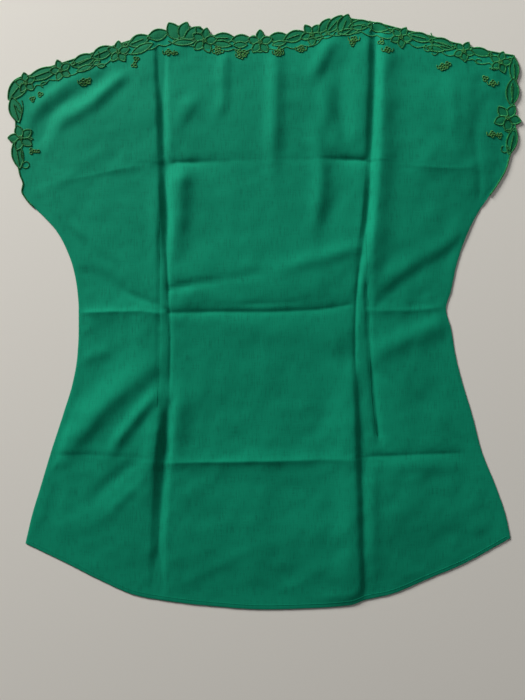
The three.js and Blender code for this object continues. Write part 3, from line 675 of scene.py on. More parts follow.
def inside_leaf(leaf, x, y):
    """1 on the leaf's midline, 0 on its outline, and below 0 outside."""
    angle = math.radians(leaf.turn)
    dx, dy = x - leaf.x, y - leaf.y
    u = dx * math.cos(angle) + dy * math.sin(angle)
    v = -dx * math.sin(angle) + dy * math.cos(angle)
    half = np.maximum(half_width(leaf, np.clip(u / leaf.long + 0.5, 0, 1)), 1e-3)
    return np.where(np.abs(u) < leaf.long / 2, 1 - np.abs(v) / half, -1)


PETALS = [petal for flower in FLOWERS for petal in petals_of(flower)]
MOTIFS = EDGE_LEAVES + INNER_LEAVES + PETALS  # a later one lies over an earlier one
print(len(EDGE_LEAVES) + len(INNER_LEAVES), "leaves and", len(PETALS), "petals")

# %% [markdown]
# ## The back's cloth
# The back is one sheet. Between the creases it is a grid whose lines crowd together at each
# crease, so that a fold lies along mesh edges and not across them. Round the grid runs a
# band of triangles that follows every leaf, petal and eyelet. Both share the grid's rim, so
# the sheet has no seam. It gets its thickness at the end.

# %% Grid between the creases
GRID_CELLS = {"columns": [48, 64, 48], "rows": [46, 46, 46, 40]}
CROWDING = 0.72  # 0 spaces the lines evenly, and 1 crowds them most at the creases


def crowded(count):
    t = np.linspace(0, 1, count + 1)
    return (1 - CROWDING) * t + CROWDING * (0.5 - 0.5 * np.cos(np.pi * t))


def crossing(up, across):
    """Where a line up and a line across meet, found by going back and forth between them."""
    y = 0.0
    for _ in range(40):
        x = float(up(y))
        y = float(across(x))
    return float(up(y)), y


def panel(column, row):
    """A panel between four creases, filled in from its edges, as x and y arrays."""
    left, right = up_lines[column], up_lines[column + 1]
    low, high = across_lines[row], across_lines[row + 1]
    corners = [[crossing(side, level) for side in (left, right)] for level in (low, high)]
    s = crowded(GRID_CELLS["columns"][column])[None, :]
    t = crowded(GRID_CELLS["rows"][row])[:, None]
    (sw, se), (nw, ne) = corners

    def mixed(a, b, share):
        return a + (b - a) * share

    def along(line, a, b):
        x = mixed(a[0], b[0], s)
        return x, line(x)

    def upward(line, a, b):
        y = mixed(a[1], b[1], t)
        return line(y), y

    south, north = along(low, sw, se), along(high, nw, ne)
    west, east = upward(left, sw, nw), upward(right, se, ne)
    axes = []
    for k in (0, 1):
        ruled = mixed(south[k], north[k], t) + mixed(west[k], east[k], s)
        flat = mixed(mixed(sw[k], se[k], s), mixed(nw[k], ne[k], s), t)
        axes.append(ruled - flat)
    return axes


def whole_grid():
    bands = []
    for row in range(len(GRID_CELLS["rows"])):
        panels = [panel(column, row) for column in range(len(GRID_CELLS["columns"]))]
        first = min(row, 1)
        bands.append([
            np.concatenate([p[k][first:, min(c, 1):] for c, p in enumerate(panels)], axis=1)
            for k in (0, 1)
        ])
    return [np.concatenate([band[k] for band in bands], axis=0) for k in (0, 1)]


grid_x, grid_y = whole_grid()
print("grid of", grid_x.shape, "points")

# %% Band of triangles that follows the border's motifs
BORDER_STEP = 1.1  # mm between points of the outer line
FILL_STEP = 1.9  # mm between the points inside the band
FILL_ROWS = 0.87  # steps from one row of those points to the next
FILL_GAP = 0.42  # steps that they keep clear of every line
BAND_REACH = 34  # mm from the edge, past which the band needs no points
BAND_FROM = 100  # lowest y of the band
SHAPE_STEPS = {"leaf": 14, "petal": 8, "eyelet": 7}
RIGHT_SLEEVE_START = 132

rows, columns = grid_x.shape
grid_ids = np.arange(rows * columns).reshape(rows, columns)
left_join = int(np.flatnonzero(grid_y[:, 0] <= SLEEVE_START)[-1])
right_join = int(np.flatnonzero(grid_y[:, -1] <= RIGHT_SLEEVE_START)[-1])
inner_ids = np.concatenate([
    grid_ids[left_join:, 0], grid_ids[-1, 1:-1], grid_ids[right_join:, -1][::-1],
])
inner_rim = np.column_stack([grid_x.ravel()[inner_ids], grid_y.ravel()[inner_ids]])

outer = upper_edge((inner_rim[-1, 1], 296), (286.5, -283), (265, inner_rim[0, 1]), BORDER_STEP)
outer_rim = np.concatenate([outer["right"][1:], outer["top"], outer["left"][:-1]])


def triangulated(points, faces):
    """Triangles between the points, with the faces that each one lies in."""
    return delaunay_2d_cdt([Vector(p) for p in points], [], faces, 0, 1e-5, True)


def band_mesh():
    """Points and triangles of the border band, which lie in motifs, and where the rim went."""
    shapes = [leaf_outline(leaf, SHAPE_STEPS["leaf"]) for leaf in EDGE_LEAVES + INNER_LEAVES]
    shapes += [leaf_outline(petal, SHAPE_STEPS["petal"]) for petal in PETALS]
    holes = [leaf_outline(eyelet, SHAPE_STEPS["eyelet"]) for eyelet in EYELETS]
    points = [inner_rim, outer_rim, *shapes, *holes]
    starts = np.cumsum([0] + [len(p) for p in points])
    ring = list(range(starts[2]))
    over_grid = list(range(starts[1])) + [starts[-1], starts[-1] + 1]
    faces = [ring, over_grid[::-1]]
    faces += [list(range(a, b)) for a, b in zip(starts[2:-1], starts[3:])]
    below = np.array([[235.0, 60.0], [-235.0, 60.0]])  # closes the ring round the grid
    lines = np.concatenate([*points, below])
    near_line = tree_of(lines)
    low, high = lines.min(0), lines.max(0)
    lattice_x, lattice_y = np.meshgrid(
        np.arange(low[0], high[0], FILL_STEP),
        np.arange(BAND_FROM, high[1], FILL_STEP * FILL_ROWS),
    )
    lattice_x[1::2] += FILL_STEP / 2
    x, y = lattice_x.ravel(), lattice_y.ravel()
    inwards = np.min([top_outer(x) - y, x - left_outer(y), right_outer(y) - x], axis=0)
    x, y = x[inwards < BAND_REACH], y[inwards < BAND_REACH]
    clear = distance_to(near_line, x, y) > FILL_STEP * FILL_GAP
    lattice = np.column_stack([x[clear], y[clear]])
    everything = np.concatenate([lines, lattice])
    found = triangulated(everything, faces)
    spots, triangles, old_ids, parents = found[0], found[2], found[3], found[5]
    hole_from = 2 + len(shapes)
    kept, motif = [], []
    for triangle, owners in zip(triangles, parents):
        owners = set(owners)
        in_hole = any(owner >= hole_from for owner in owners)
        shape_ids = [owner for owner in owners if 2 <= owner < hole_from]
        if not in_hole and 1 not in owners and (0 in owners or shape_ids):
            kept.append(triangle)
            motif.append(bool(shape_ids))
    rim_of = {}
    for new, old in enumerate(old_ids):
        for i in old:
            if i < len(inner_rim):
                rim_of[new] = int(inner_ids[i])
    return np.array([tuple(p) for p in spots]), kept, motif, rim_of


band_points, band_triangles, band_motif, band_rim = band_mesh()
print("band of", len(band_triangles), "triangles,", sum(band_motif), "in motifs")

# %% Join grid and band, lift them, and give the sheet its thickness
CLOTH_THICK = 0.4  # mm
PILLOW = 0.35  # mm that a leaf's middle stands above its outline
PILLOW_RISE = 1.4  # how soon it gets there, where 1 is only at the midline
SHARP_FROM = 55  # degrees


def pillow_at(x, y):
    rise = np.zeros(len(x))
    for motif in MOTIFS:
        near = np.hypot(x - motif.x, y - motif.y) < motif.long / 2
        rise[near] = np.maximum(rise[near], inside_leaf(motif, x[near], y[near]))
    return PILLOW * smooth(rise * PILLOW_RISE)


def sheet_object(name, x, y, z, faces, thick, materials, kinds=None):
    """A sheet from its top face: a copy below, turned over, and walls on the open edges."""
    count = len(x)
    top = np.column_stack([x, y, z])
    under = top - np.array([0, 0, thick])
    edges = dict.fromkeys(pair for face in faces for pair in zip(face, (*face[1:], face[0])))
    rim = [(a, b) for a, b in edges if (b, a) not in edges]
    all_faces = list(faces) + [tuple(count + i for i in reversed(face)) for face in faces]
    all_faces += [(b, a, count + a, count + b) for a, b in rim]
    piece = mesh_object(name, np.concatenate([top, under]) * MM, all_faces, materials)
    if kinds is not None:
        slots = list(kinds) + list(kinds) + [0] * len(rim)
        piece.data.polygons.foreach_set("material_index", slots)
    piece.data.shade_smooth()
    piece.data.set_sharp_from_angle(angle=math.radians(SHARP_FROM))
    piece.data.update()
    print(name, "has", sum(len(face) - 2 for face in all_faces), "triangles")
    return piece


def back_faces():
    used = sorted({i for triangle in band_triangles for i in triangle})
    new_id = {i: band_rim[i] for i in used if i in band_rim}
    fresh = [i for i in used if i not in band_rim]
    for k, i in enumerate(fresh):
        new_id[i] = rows * columns + k
    x = np.concatenate([grid_x.ravel(), band_points[fresh, 0]])
    y = np.concatenate([grid_y.ravel(), band_points[fresh, 1]])
    a, b = grid_ids[:-1, :-1].ravel(), grid_ids[:-1, 1:].ravel()
    c, d = grid_ids[1:, 1:].ravel(), grid_ids[1:, :-1].ravel()
    faces = [tuple(int(i) for i in quad) for quad in zip(a, b, c, d)]
    kinds = [0] * len(faces)
    for triangle, motif in zip(band_triangles, band_motif):
        ids = tuple(new_id[i] for i in triangle)
        (ax, ay), (bx, by), (cx, cy) = ((x[i], y[i]) for i in ids)
        turned = (bx - ax) * (cy - ay) - (by - ay) * (cx - ax)
        faces.append(ids if turned > 0 else ids[::-1])
        kinds.append(int(motif))
    return x, y, faces, kinds


back_x, back_y, faces, kinds = back_faces()
back_z = top_at(back_x, back_y) + pillow_at(back_x, back_y)

# %% [markdown]
# ## The cloth's finish
# The cloth is a light plain weave of slubby thread: each thread swells and thins along its
# length, so the surface shows short streaks both ways. An image of cloth could be wrapped on,
# but it would repeat. Two stretched noises give the slubs, and two fine waves give the
# threads themselves. The slubs drive both colour and bump, so the two agree.

# %% Weave as a material
CLOTH_COLOUR = (0.0027, 0.206, 0.117)
MOTIF_COLOUR = (0.0045, 0.148, 0.064)
THREAD_PITCH = 0.00046  # m
SLUB = {"across": 820, "along": 70}  # noise cells per metre
SLUB_SHARE = {"warp": 1.35, "weft": 0.65}
PATCHES = {"cells": (38, 30, 1), "detail": 3.0, "share": 0.35}
WAVE_SHARE = 0.25  # of the fine waves in the bump
SHADE_GAIN = 0.85
CLOTH_GLOSS = 0.08
CLOTH_TONES = ((0.62, 0.8), (1.0, 1.19))  # place on the ramp and gain, darker then lighter


def add(tree, kind, inputs=(), **settings):
    node = tree.nodes.new(kind)
    for name, value in settings.items():
        setattr(node, name, value)
    for name, value in dict(inputs).items():
        if isinstance(value, bpy.types.NodeSocket):
            tree.links.new(value, node.inputs[name])
        else:
            node.inputs[name].default_value = value
    return node


def maths(tree, operation, a, b):
    return add(tree, "ShaderNodeMath", {0: a, 1: b}, operation=operation).outputs[0]


def two_tone(tree, place, colour, tones):
    """The colour, from its darker to its lighter tone."""
    ramp = add(tree, "ShaderNodeValToRGB", {"Fac": place})
    for element, (position, gain) in zip(ramp.color_ramp.elements, tones):
        element.position = position
        element.color = (*[min(1, c * gain) for c in colour], 1)
    return ramp.outputs["Color"]


def surface(tree, shader, colour, height, strength, distance):
    """Give the shader its colour and a bump."""
    bump = add(
        tree, "ShaderNodeBump", {"Height": height, "Strength": strength, "Distance": distance}
    )
    tree.links.new(colour, shader.inputs["Base Color"])
    tree.links.new(bump.outputs["Normal"], shader.inputs["Normal"])


def stretched_noise(tree, place, scale, detail=2.0):
    moved = add(tree, "ShaderNodeMapping", {"Vector": place, "Scale": scale})
    noise = add(
        tree, "ShaderNodeTexNoise",
        {"Vector": moved.outputs["Vector"], "Scale": 1.0, "Detail": detail, "Roughness": 0.55},
    )
    return noise.outputs["Fac"]


def thread_wave(tree, place, direction):
    wave_scale = 2 * math.pi / (20 * THREAD_PITCH)
    wave = add(
        tree, "ShaderNodeTexWave",
        {"Vector": place, "Scale": wave_scale, "Distortion": 0.6, "Detail": 1.0,
         "Detail Scale": 0.3},
        wave_type="BANDS", bands_direction=direction,
    )
    return wave.outputs["Fac"]


def woven(name, colour, roughness, bump_height):
    material, shader = material_of(name, roughness, CLOTH_GLOSS)
    tree = material.node_tree
    place = add(tree, "ShaderNodeTexCoord").outputs["Object"]
    across, along = SLUB["across"], SLUB["along"]
    warp = stretched_noise(tree, place, (across, along, 1))
    weft = stretched_noise(tree, place, (along, across, 1))
    slubs = maths(
        tree, "ADD",
        maths(tree, "MULTIPLY", warp, SLUB_SHARE["warp"]),
        maths(tree, "MULTIPLY", weft, SLUB_SHARE["weft"]),
    )
    patches = stretched_noise(tree, place, PATCHES["cells"], PATCHES["detail"])
    waves = maths(tree, "ADD", thread_wave(tree, place, "X"), thread_wave(tree, place, "Y"))
    shade = maths(tree, "ADD", slubs, maths(tree, "MULTIPLY", patches, PATCHES["share"]))
    tone = two_tone(tree, maths(tree, "MULTIPLY", shade, SHADE_GAIN), colour, CLOTH_TONES)
    height = maths(tree, "ADD", slubs, maths(tree, "MULTIPLY", waves, WAVE_SHARE))
    surface(tree, shader, tone, height, 1.0, bump_height)
    return material


green_cloth = woven("green_cloth", CLOTH_COLOUR, roughness=0.9, bump_height=0.00005)
motif_cloth = woven("motif_cloth", MOTIF_COLOUR, roughness=0.8, bump_height=0.00009)

# %% Make the back
back_cloth = sheet_object(
    "back_cloth", back_x, back_y, back_z, faces, CLOTH_THICK, [green_cloth, motif_cloth], kinds
)
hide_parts("back_panel")

# %% [markdown]
# ## The front
# The front is hidden under the back and only shows at its edges from low down. It is one
# plain sheet with a scooped neck, a little smaller than the outline, so that the back's
# rolled sides cover it.

# %% Make the front
FRONT_INSET = 5.0
FRONT_LIFT = {"top": 0.32, "thick": 0.26}
FRONT_STEP = 7.0
FRONT_EDGE = {"step": 4.0, "neck_span": 108, "neck_top": 312, "gap": 8}  # mm, the top as a y


def moved_left(points, way, distance):
    """Points moved to the left of the way that they run."""
    way = way / np.linalg.norm(way, axis=1)[:, None]
    return points + np.column_stack([-way[:, 1], way[:, 0]]) * distance


def front_outline():
    runs = edge_points(FRONT_EDGE["step"])
    middle, span, gap = FRONT_NECK["centre"], FRONT_EDGE["neck_span"], FRONT_EDGE["gap"]
    neck_x = sampled(middle + span, middle - span, FRONT_EDGE["step"])
    neck = np.column_stack([neck_x, np.minimum(front_neck(neck_x), FRONT_EDGE["neck_top"])])
    right_part = runs["top"][runs["top"][:, 0] > neck_x[0] + gap]
    left_part = runs["top"][runs["top"][:, 0] < neck_x[-1] - gap]
    right_run = np.concatenate([runs["hem"], runs["right"][1:-1], right_part])
    left_run = np.concatenate([left_part, runs["left"][1:-1]])
    ring = np.concatenate([right_run, left_run])
    way = np.roll(ring, -1, axis=0) - np.roll(ring, 1, axis=0)
    moved = moved_left(ring, way, FRONT_INSET)
    return np.concatenate([moved[: len(right_run)], neck, moved[len(right_run):]])


def filled(outline, step):
    """Triangles that fill an outline, with a lattice of points inside it."""
    low, high = outline.min(0), outline.max(0)
    x, y = np.meshgrid(np.arange(low[0], high[0], step), np.arange(low[1], high[1], step))
    x, y = x.ravel(), y.ravel()
    clear = distance_to(tree_of(outline), x, y) > step * 0.5
    everything = np.concatenate([outline, np.column_stack([x[clear], y[clear]])])
    found = triangulated(everything, [list(range(len(outline)))])
    kept = [tuple(face) for face, owners in zip(found[2], found[5]) if owners]
    used = sorted({i for face in kept for i in face})
    new_id = {i: k for k, i in enumerate(used)}
    spots = np.array([tuple(found[0][i]) for i in used])
    return spots, [tuple(new_id[i] for i in face) for face in kept]


front_points, front_faces = filled(front_outline(), FRONT_STEP)
front_cloth = sheet_object(
    "front_cloth", front_points[:, 0], front_points[:, 1],
    np.full(len(front_points), FRONT_LIFT["top"]), front_faces, FRONT_LIFT["thick"], [green_cloth],
)
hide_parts("front_panel")

# %% [markdown]
# ## Satin stitch by Geometry Nodes
# Satin stitch is many short parallel threads laid side by side across a line. One tree makes
# them all: it walks along each line, lays an arched thread at every step, turns it a little
# unevenly, and makes the instances real. The lines are plain mesh edges that lie on the cloth.

# %% The stitch tree
def stitch_tree():
    tree = bpy.data.node_groups.new("stitches", "GeometryNodeTree")
    face = tree.interface
    face.new_socket("Lines", in_out="INPUT", socket_type="NodeSocketGeometry")
    for name in ("Spacing", "Width", "Rise", "Thread", "Turn", "Wander"):
        face.new_socket(name, in_out="INPUT", socket_type="NodeSocketFloat")
    face.new_socket("Seed", in_out="INPUT", socket_type="NodeSocketInt")
    face.new_socket("Material", in_out="INPUT", socket_type="NodeSocketMaterial")
    face.new_socket("Stitches", in_out="OUTPUT", socket_type="NodeSocketGeometry")
    sizes = tree.nodes.new("NodeGroupInput").outputs
    curves = add(tree, "GeometryNodeMeshToCurve", {"Mesh": sizes["Lines"]})
    steps = add(
        tree, "GeometryNodeResampleCurve",
        {"Curve": curves.outputs["Curve"], "Length": sizes["Spacing"]}, mode="LENGTH",
    )
    half = maths(tree, "MULTIPLY", sizes["Width"], 0.5)
    start = add(tree, "ShaderNodeCombineXYZ", {"Y": maths(tree, "MULTIPLY", half, -1.0)})
    middle = add(tree, "ShaderNodeCombineXYZ", {"Z": maths(tree, "MULTIPLY", sizes["Rise"], 2.0)})
    end = add(tree, "ShaderNodeCombineXYZ", {"Y": half})
    arch = add(
        tree, "GeometryNodeCurveQuadraticBezier",
        {"Resolution": 3, "Start": start.outputs[0], "Middle": middle.outputs[0],
         "End": end.outputs[0]},
    )
    ring = add(
        tree, "GeometryNodeCurvePrimitiveCircle",
        {"Resolution": 4, "Radius": sizes["Thread"]}, mode="RADIUS",
    )
    thread = add(
        tree, "GeometryNodeCurveToMesh",
        {"Curve": arch.outputs["Curve"], "Profile Curve": ring.outputs["Curve"],
         "Fill Caps": True},
    )
    tangent = add(tree, "GeometryNodeInputTangent")
    facing = add(
        tree, "FunctionNodeAxesToRotation",
        {"Primary Axis": (0, 0, 1), "Secondary Axis": tangent.outputs["Tangent"]},
        primary_axis="Z", secondary_axis="X",
    )
    laid = add(
        tree, "GeometryNodeInstanceOnPoints",
        {"Points": steps.outputs["Curve"], "Instance": thread.outputs["Mesh"],
         "Rotation": facing.outputs["Rotation"]},
    )
    least = maths(tree, "MULTIPLY", sizes["Wander"], -1.0)
    wander = add(
        tree, "FunctionNodeRandomValue",
        {2: least, 3: sizes["Wander"], "Seed": sizes["Seed"]}, data_type="FLOAT",
    )
    spin = add(
        tree, "ShaderNodeCombineXYZ", {"Z": maths(tree, "ADD", sizes["Turn"], wander.outputs[1])}
    )
    turned = add(
        tree, "GeometryNodeRotateInstances",
        {"Instances": laid.outputs["Instances"], "Rotation": spin.outputs[0]},
    )
    real = add(tree, "GeometryNodeRealizeInstances", {"Geometry": turned.outputs["Instances"]})
    smooth_faces = add(
        tree, "GeometryNodeSetShadeSmooth", {"Geometry": real.outputs["Geometry"]}
    )
    coloured = add(
        tree, "GeometryNodeSetMaterial",
        {"Geometry": smooth_faces.outputs["Geometry"], "Material": sizes["Material"]},
    )
    add(tree, "NodeGroupOutput", {"Stitches": coloured.outputs["Geometry"]})
    return tree


stitches = stitch_tree()


def line_object(name, runs):
    """Mesh edges along runs of (points, closed), in millimetres."""
    points, edges = [], []
    for run, closed in runs:
        start = len(points)
        points.extend(np.array(run) * MM)
        edges.extend((start + i, start + i + 1) for i in range(len(run) - 1))
        if closed:
            edges.append((len(points) - 1, start))
    return mesh_object(name, points, [], edges=edges)


def stitched(name, runs, material, seed, **sizes):
    """The runs worked in stitches, as one plain mesh object. Sizes in mm, turns in degrees."""
    thing = line_object(name + "_lines", runs)
    modifier = thing.modifiers.new("stitches", "NODES")
    modifier.node_group = stitches
    values = {key: sizes[key] * MM for key in ("Spacing", "Width", "Rise", "Thread")}
    values.update({key: math.radians(sizes[key]) for key in ("Turn", "Wander")})
    values.update({"Seed": seed, "Material": material})
    for item in stitches.interface.items_tree:
        if item.in_out == "INPUT" and item.name in values:
            modifier[item.identifier] = values[item.name]
    graph = bpy.context.evaluated_depsgraph_get()
    mesh = bpy.data.meshes.new_from_object(thing.evaluated_get(graph))
    bpy.data.objects.remove(thing)
    mesh.name = name
    piece = in_scene(name, mesh)
    mesh.calc_loop_triangles()
    print(name, "has", len(mesh.loop_triangles), "triangles on", len(runs), "lines")
    return piece


# %% [markdown]
# ## Thread finishes
# The satin stitch is taken as smooth rayon: a warmer green than the cloth, and a little
# glossier. The flower middles and the sprigs are worked in an olive gold thread. Both vary
# at random in tone, and their lighter specks are painted glints.

# %% Thread materials
SATIN_COLOUR = (0.028, 0.235, 0.074)
GOLD_COLOUR = (0.065, 0.25, 0.06)
THREAD_GLOSS = 0.12
# darker and lighter tone of both threads, at random; the lighter specks are painted glints
THREAD_TONES_AND_GLINTS = ((0.3, 0.5), (0.7, 1.65))
THREAD_NOISE = {"shade": 420, "fibres": 5200}  # noise cells per metre
FIBRE_BUMP = {"strength": 0.6, "height": 0.00004}  # height in m


def thread_material(name, colour, roughness):
    material, shader = material_of(name, roughness, THREAD_GLOSS)
    tree = material.node_tree
    place = add(tree, "ShaderNodeTexCoord").outputs["Object"]
    # random tone of the thread, whose lighter specks are painted glints
    tone_and_glints = stretched_noise(tree, place, [THREAD_NOISE["shade"]] * 3)
    fibres = stretched_noise(tree, place, [THREAD_NOISE["fibres"]] * 3, 1.0)
    tone = two_tone(tree, tone_and_glints, colour, THREAD_TONES_AND_GLINTS)
    surface(tree, shader, tone, fibres, FIBRE_BUMP["strength"], FIBRE_BUMP["height"])
    return material


satin_thread = thread_material("satin_thread", SATIN_COLOUR, roughness=0.5)
gold_thread = thread_material("gold_thread", GOLD_COLOUR, roughness=0.45)

# %% [markdown]
# ## Lines of the embroidery
# Every motif is outlined. Where one lies over another, the lower outline is hidden, as in
# real work. The cut edge between motifs is oversewn too, and veins, scrolls and bars across
# the eyelets are short lines of their own.

# %% Lines of the border
LINE_STEP = 0.7  # mm
HIDDEN_MARGIN = 0.12  # share of a motif's half width
STEM_MARGIN = 0.05
CORD_LIFT = 0.05  # mm
BAR_LIFT = -0.2  # mm
VEINED_FROM = 25  # mm of length, from which an edge leaf has a midrib
MIDRIB = (-0.36, 0.2)  # its ends, as shares of the leaf's length
CURL_SHRINK = 0.35  # share of its radius that a curl loses on its way
SCALLOP = {"depth": 13.5, "swing": 3.6, "length": 19}  # mm
# Veins and stems as three points of a bent line: start, middle and end.
STEMS = [
    [(-287, 238), (-285, 234), (-281, 230)], [(-280, 244), (-279, 232), (-283.5, 219)],
    [(-281, 186), (-280.5, 181), (-279, 176)], [(-214.5, 286), (-208, 289), (-200, 293)],
    [(198, 311), (207, 309.5), (216, 305)], [(198, 306), (207, 306), (214, 303)],
    [(285.8, 264), (284.5, 256), (286, 246)], [(-111, 313), (-93, 307.5), (-79, 313)],
    [(69.6, 320.9), (88, 318.5), (100.6, 326.6)], [(100.6, 337.5), (101.5, 331), (100.6, 325)],
    [(121.3, 336), (123.5, 329), (121, 323)], [(40.8, 314.5), (58, 316), (75, 321)],
    [(132.8, 323), (139, 321), (145.5, 321.5)], [(276.6, 209.3), (282, 210.5), (288, 209)],
    [(259, 281), (263, 280.5), (268, 281)], [(192, 322), (193.5, 316), (193, 309)],
    [(-192, 301), (-191, 296), (-192.5, 290)], [(-150, 318), (-156, 311), (-164, 309)],
]
Curl = namedtuple("Curl", "x y radius start sweep")
CURLS = [
    Curl(-275.5, 170.5, 4.6, -150, 300), Curl(276.5, 188.5, 5, 40, -290),
    Curl(187.5, 305, 5.2, 10, -260), Curl(246, 288.5, 3.6, 20, 250),
    Curl(114, 327.5, 3, 0, 280), Curl(196.5, 299.5, 4, -160, 180),
    Curl(-255, 262, 4, 30, 220),
]
BARS = [
    [(-224, 285.5), (-218, 287.5)], [(-163, 306.5), (-157, 310.5)],
    [(-221.5, 288.5), (-220.5, 284.5)], [(143, 326), (149, 324)],
    [(145.8, 327.2), (146.2, 322.8)], [(260.5, 299.8), (260.5, 294.2)],
    [(258.2, 297.6), (262.8, 296.4)], [(283.5, 294), (283.5, 290)], [(217, 307.3), (219, 303.7)],
]


def bent(three):
    """A line that bends from the first point through the second to the third."""
    (ax, ay), (bx, by), (cx, cy) = three
    length = math.hypot(bx - ax, by - ay) + math.hypot(cx - bx, cy - by)
    t = np.linspace(0, 1, max(3, int(length / LINE_STEP)))
    mx, my = 2 * bx - (ax + cx) / 2, 2 * by - (ay + cy) / 2
    x = (1 - t) ** 2 * ax + 2 * t * (1 - t) * mx + t * t * cx
    y = (1 - t) ** 2 * ay + 2 * t * (1 - t) * my + t * t * cy
    return np.column_stack([x, y])


def around(x, y, radius, angle):
    return np.column_stack([x + radius * np.cos(angle), y + radius * np.sin(angle)])


def curl_points(curl):
    count = max(6, int(abs(math.radians(curl.sweep)) * curl.radius / LINE_STEP))
    t = np.linspace(0, 1, count)
    angle = np.radians(curl.start + curl.sweep * t)
    return around(curl.x, curl.y, curl.radius * (1 - CURL_SHRINK * t), angle)


def split_runs(points, keep, closed):
    """The stretches of a line that are kept. A closed line that is kept whole stays closed."""
    if keep.all():
        return [(points, closed)]
    if closed and keep.any():
        turn = int(np.flatnonzero(~keep)[0])
        points, keep = np.roll(points, -turn, axis=0), np.roll(keep, -turn)
    runs, start = [], None
    for i, kept in enumerate([*keep, False]):
        if kept and start is None:
            start = i
        if not kept and start is not None:
            if i - start > 2:
                runs.append((points[start:i], False))
            start = None
    return runs


def outside(motifs, points, margin):
    """Which points lie outside every motif, or no further inside than the margin."""
    keep = np.ones(len(points), bool)
    for motif in motifs:
        keep &= inside_leaf(motif, points[:, 0], points[:, 1]) < margin
    return keep


def motif_runs():
    runs = []
    for k, motif in enumerate(MOTIFS):
        outline = leaf_outline(motif, max(8, int(motif.long / LINE_STEP)))
        runs += split_runs(outline, outside(MOTIFS[k + 1:], outline, HIDDEN_MARGIN), True)
    return runs


def edge_runs():
    """The cut edge wherever no motif covers it, with the plain sleeve ends."""
    pieces = upper_edge((135, 296), (287, -283), (265, 122), LINE_STEP)
    edge = np.concatenate(list(pieces.values()))
    return split_runs(edge, outside(MOTIFS, edge, 0), False)


def walked(points):
    """How far along the line each of its points is."""
    return np.concatenate([[0], np.cumsum(np.linalg.norm(np.diff(points, axis=0), axis=1))])


def running_stem():
    """A scalloped stem that runs inside the border and dives under the motifs."""
    x = sampled(280, -276, 2.0)
    edge = np.column_stack([x, top_outer(x)])
    swing = np.abs(np.sin(np.pi * walked(edge) / SCALLOP["length"]))
    depth = SCALLOP["depth"] + SCALLOP["swing"] * swing
    stem = moved_left(edge, np.gradient(edge, axis=0), depth[:, None])
    far = walked(stem)
    even = np.arange(0, far[-1], LINE_STEP)
    stem = np.column_stack([np.interp(even, far, stem[:, k]) for k in (0, 1)])
    return split_runs(stem, outside(MOTIFS, stem, STEM_MARGIN), False)


def midrib(leaf):
    return placed(leaf, np.linspace(*MIDRIB, 14) * leaf.long, np.zeros(14))


lines = motif_runs() + edge_runs()
lines += [(leaf_outline(eyelet, 14), True) for eyelet in EYELETS]
veins = [(midrib(leaf), False) for leaf in EDGE_LEAVES if leaf.long > VEINED_FROM]
veins += [(bent(stem), False) for stem in STEMS]
veins += [(curl_points(curl), False) for curl in CURLS]
veins += running_stem()
bars = [(np.linspace(bar[0], bar[1], 7), False) for bar in BARS]
print(len(lines), "outlines,", len(veins), "veins and scrolls,", len(bars), "bars")

# %% [markdown]
# The border solids come in five bands, so the embroidery does too. A line belongs to the
# band that its middle lies in. A band's cords, veins and bars are then joined into one piece.

# %% Satin stitch, band by band
SLEEVE_SPLITS = {"left": ((-260.5, 253), (-282, 272)), "right": ((267.5, 271.5), (289, 293))}
NECK_SPLITS = (-114, 101)
CORD = {"Spacing": 0.62, "Width": 1.55, "Rise": 0.36, "Thread": 0.32, "Turn": 14, "Wander": 7}
VEIN = {"Spacing": 0.6, "Width": 1.15, "Rise": 0.3, "Thread": 0.3, "Turn": 14, "Wander": 6}
BANDS = {
    "neck_embroidery": "neck_border",
    "shoulder_embroidery_left": "shoulder_border_left",
    "shoulder_embroidery_right": "shoulder_border_right",
    "sleeve_embroidery_left": "sleeve_border_left",
    "sleeve_embroidery_right": "sleeve_border_right",
}


def beyond(point, split):
    """Which side of a sleeve's split line a point lies on: plus is above."""
    (ax, ay), (bx, by) = split
    turned = (bx - ax) * (point[1] - ay) - (by - ay) * (point[0] - ax)
    return turned if bx > ax else -turned


def band_of(run):
    x, y = np.asarray(run)[:, :2].mean(0)
    if x < -200 and beyond((x, y), SLEEVE_SPLITS["left"]) < 0:
        return "sleeve_embroidery_left"
    if x > 200 and beyond((x, y), SLEEVE_SPLITS["right"]) < 0:
        return "sleeve_embroidery_right"
    if x < NECK_SPLITS[0]:
        return "shoulder_embroidery_left"
    return "neck_embroidery" if x < NECK_SPLITS[1] else "shoulder_embroidery_right"


def on_cloth(runs, lift):
    """The runs laid on the cloth, a little above it or below."""
    lifted = []
    for run, closed in runs:
        x, y = run[:, 0], run[:, 1]
        lifted.append((np.column_stack([run, top_at(x, y) + pillow_at(x, y) + lift]), closed))
    return lifted


def joined(name, pieces):
    """Several mesh objects made one, under this name."""
    with bpy.context.temp_override(active_object=pieces[0], selected_editable_objects=pieces):
        bpy.ops.object.join()
    pieces[0].name = name
    return pieces[0]


embroidery = {}
for seed, (name, node) in enumerate(BANDS.items()):
    cords = on_cloth([run for run in lines if band_of(run[0]) == name], CORD_LIFT)
    thin = on_cloth([run for run in veins if band_of(run[0]) == name], CORD_LIFT)
    across = on_cloth([run for run in bars if band_of(run[0]) == name], BAR_LIFT)
    parts = [stitched(name, cords, satin_thread, seed, **CORD)]
    for extra, runs in (("_veins", thin), ("_bars", across)):
        if runs:
            parts.append(stitched(name + extra, runs, satin_thread, seed + 10, **VEIN))
    embroidery[name] = joined(name, parts)
    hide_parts(node)
    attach(embroidery[name], "root")

# %% [markdown]
# ## Gold work
# Each flower has a ring of knots in its middle. Below the border hang sprigs: small clusters
# of worked rings, like berries. Both are rings of the same stitch, worked narrow and high.

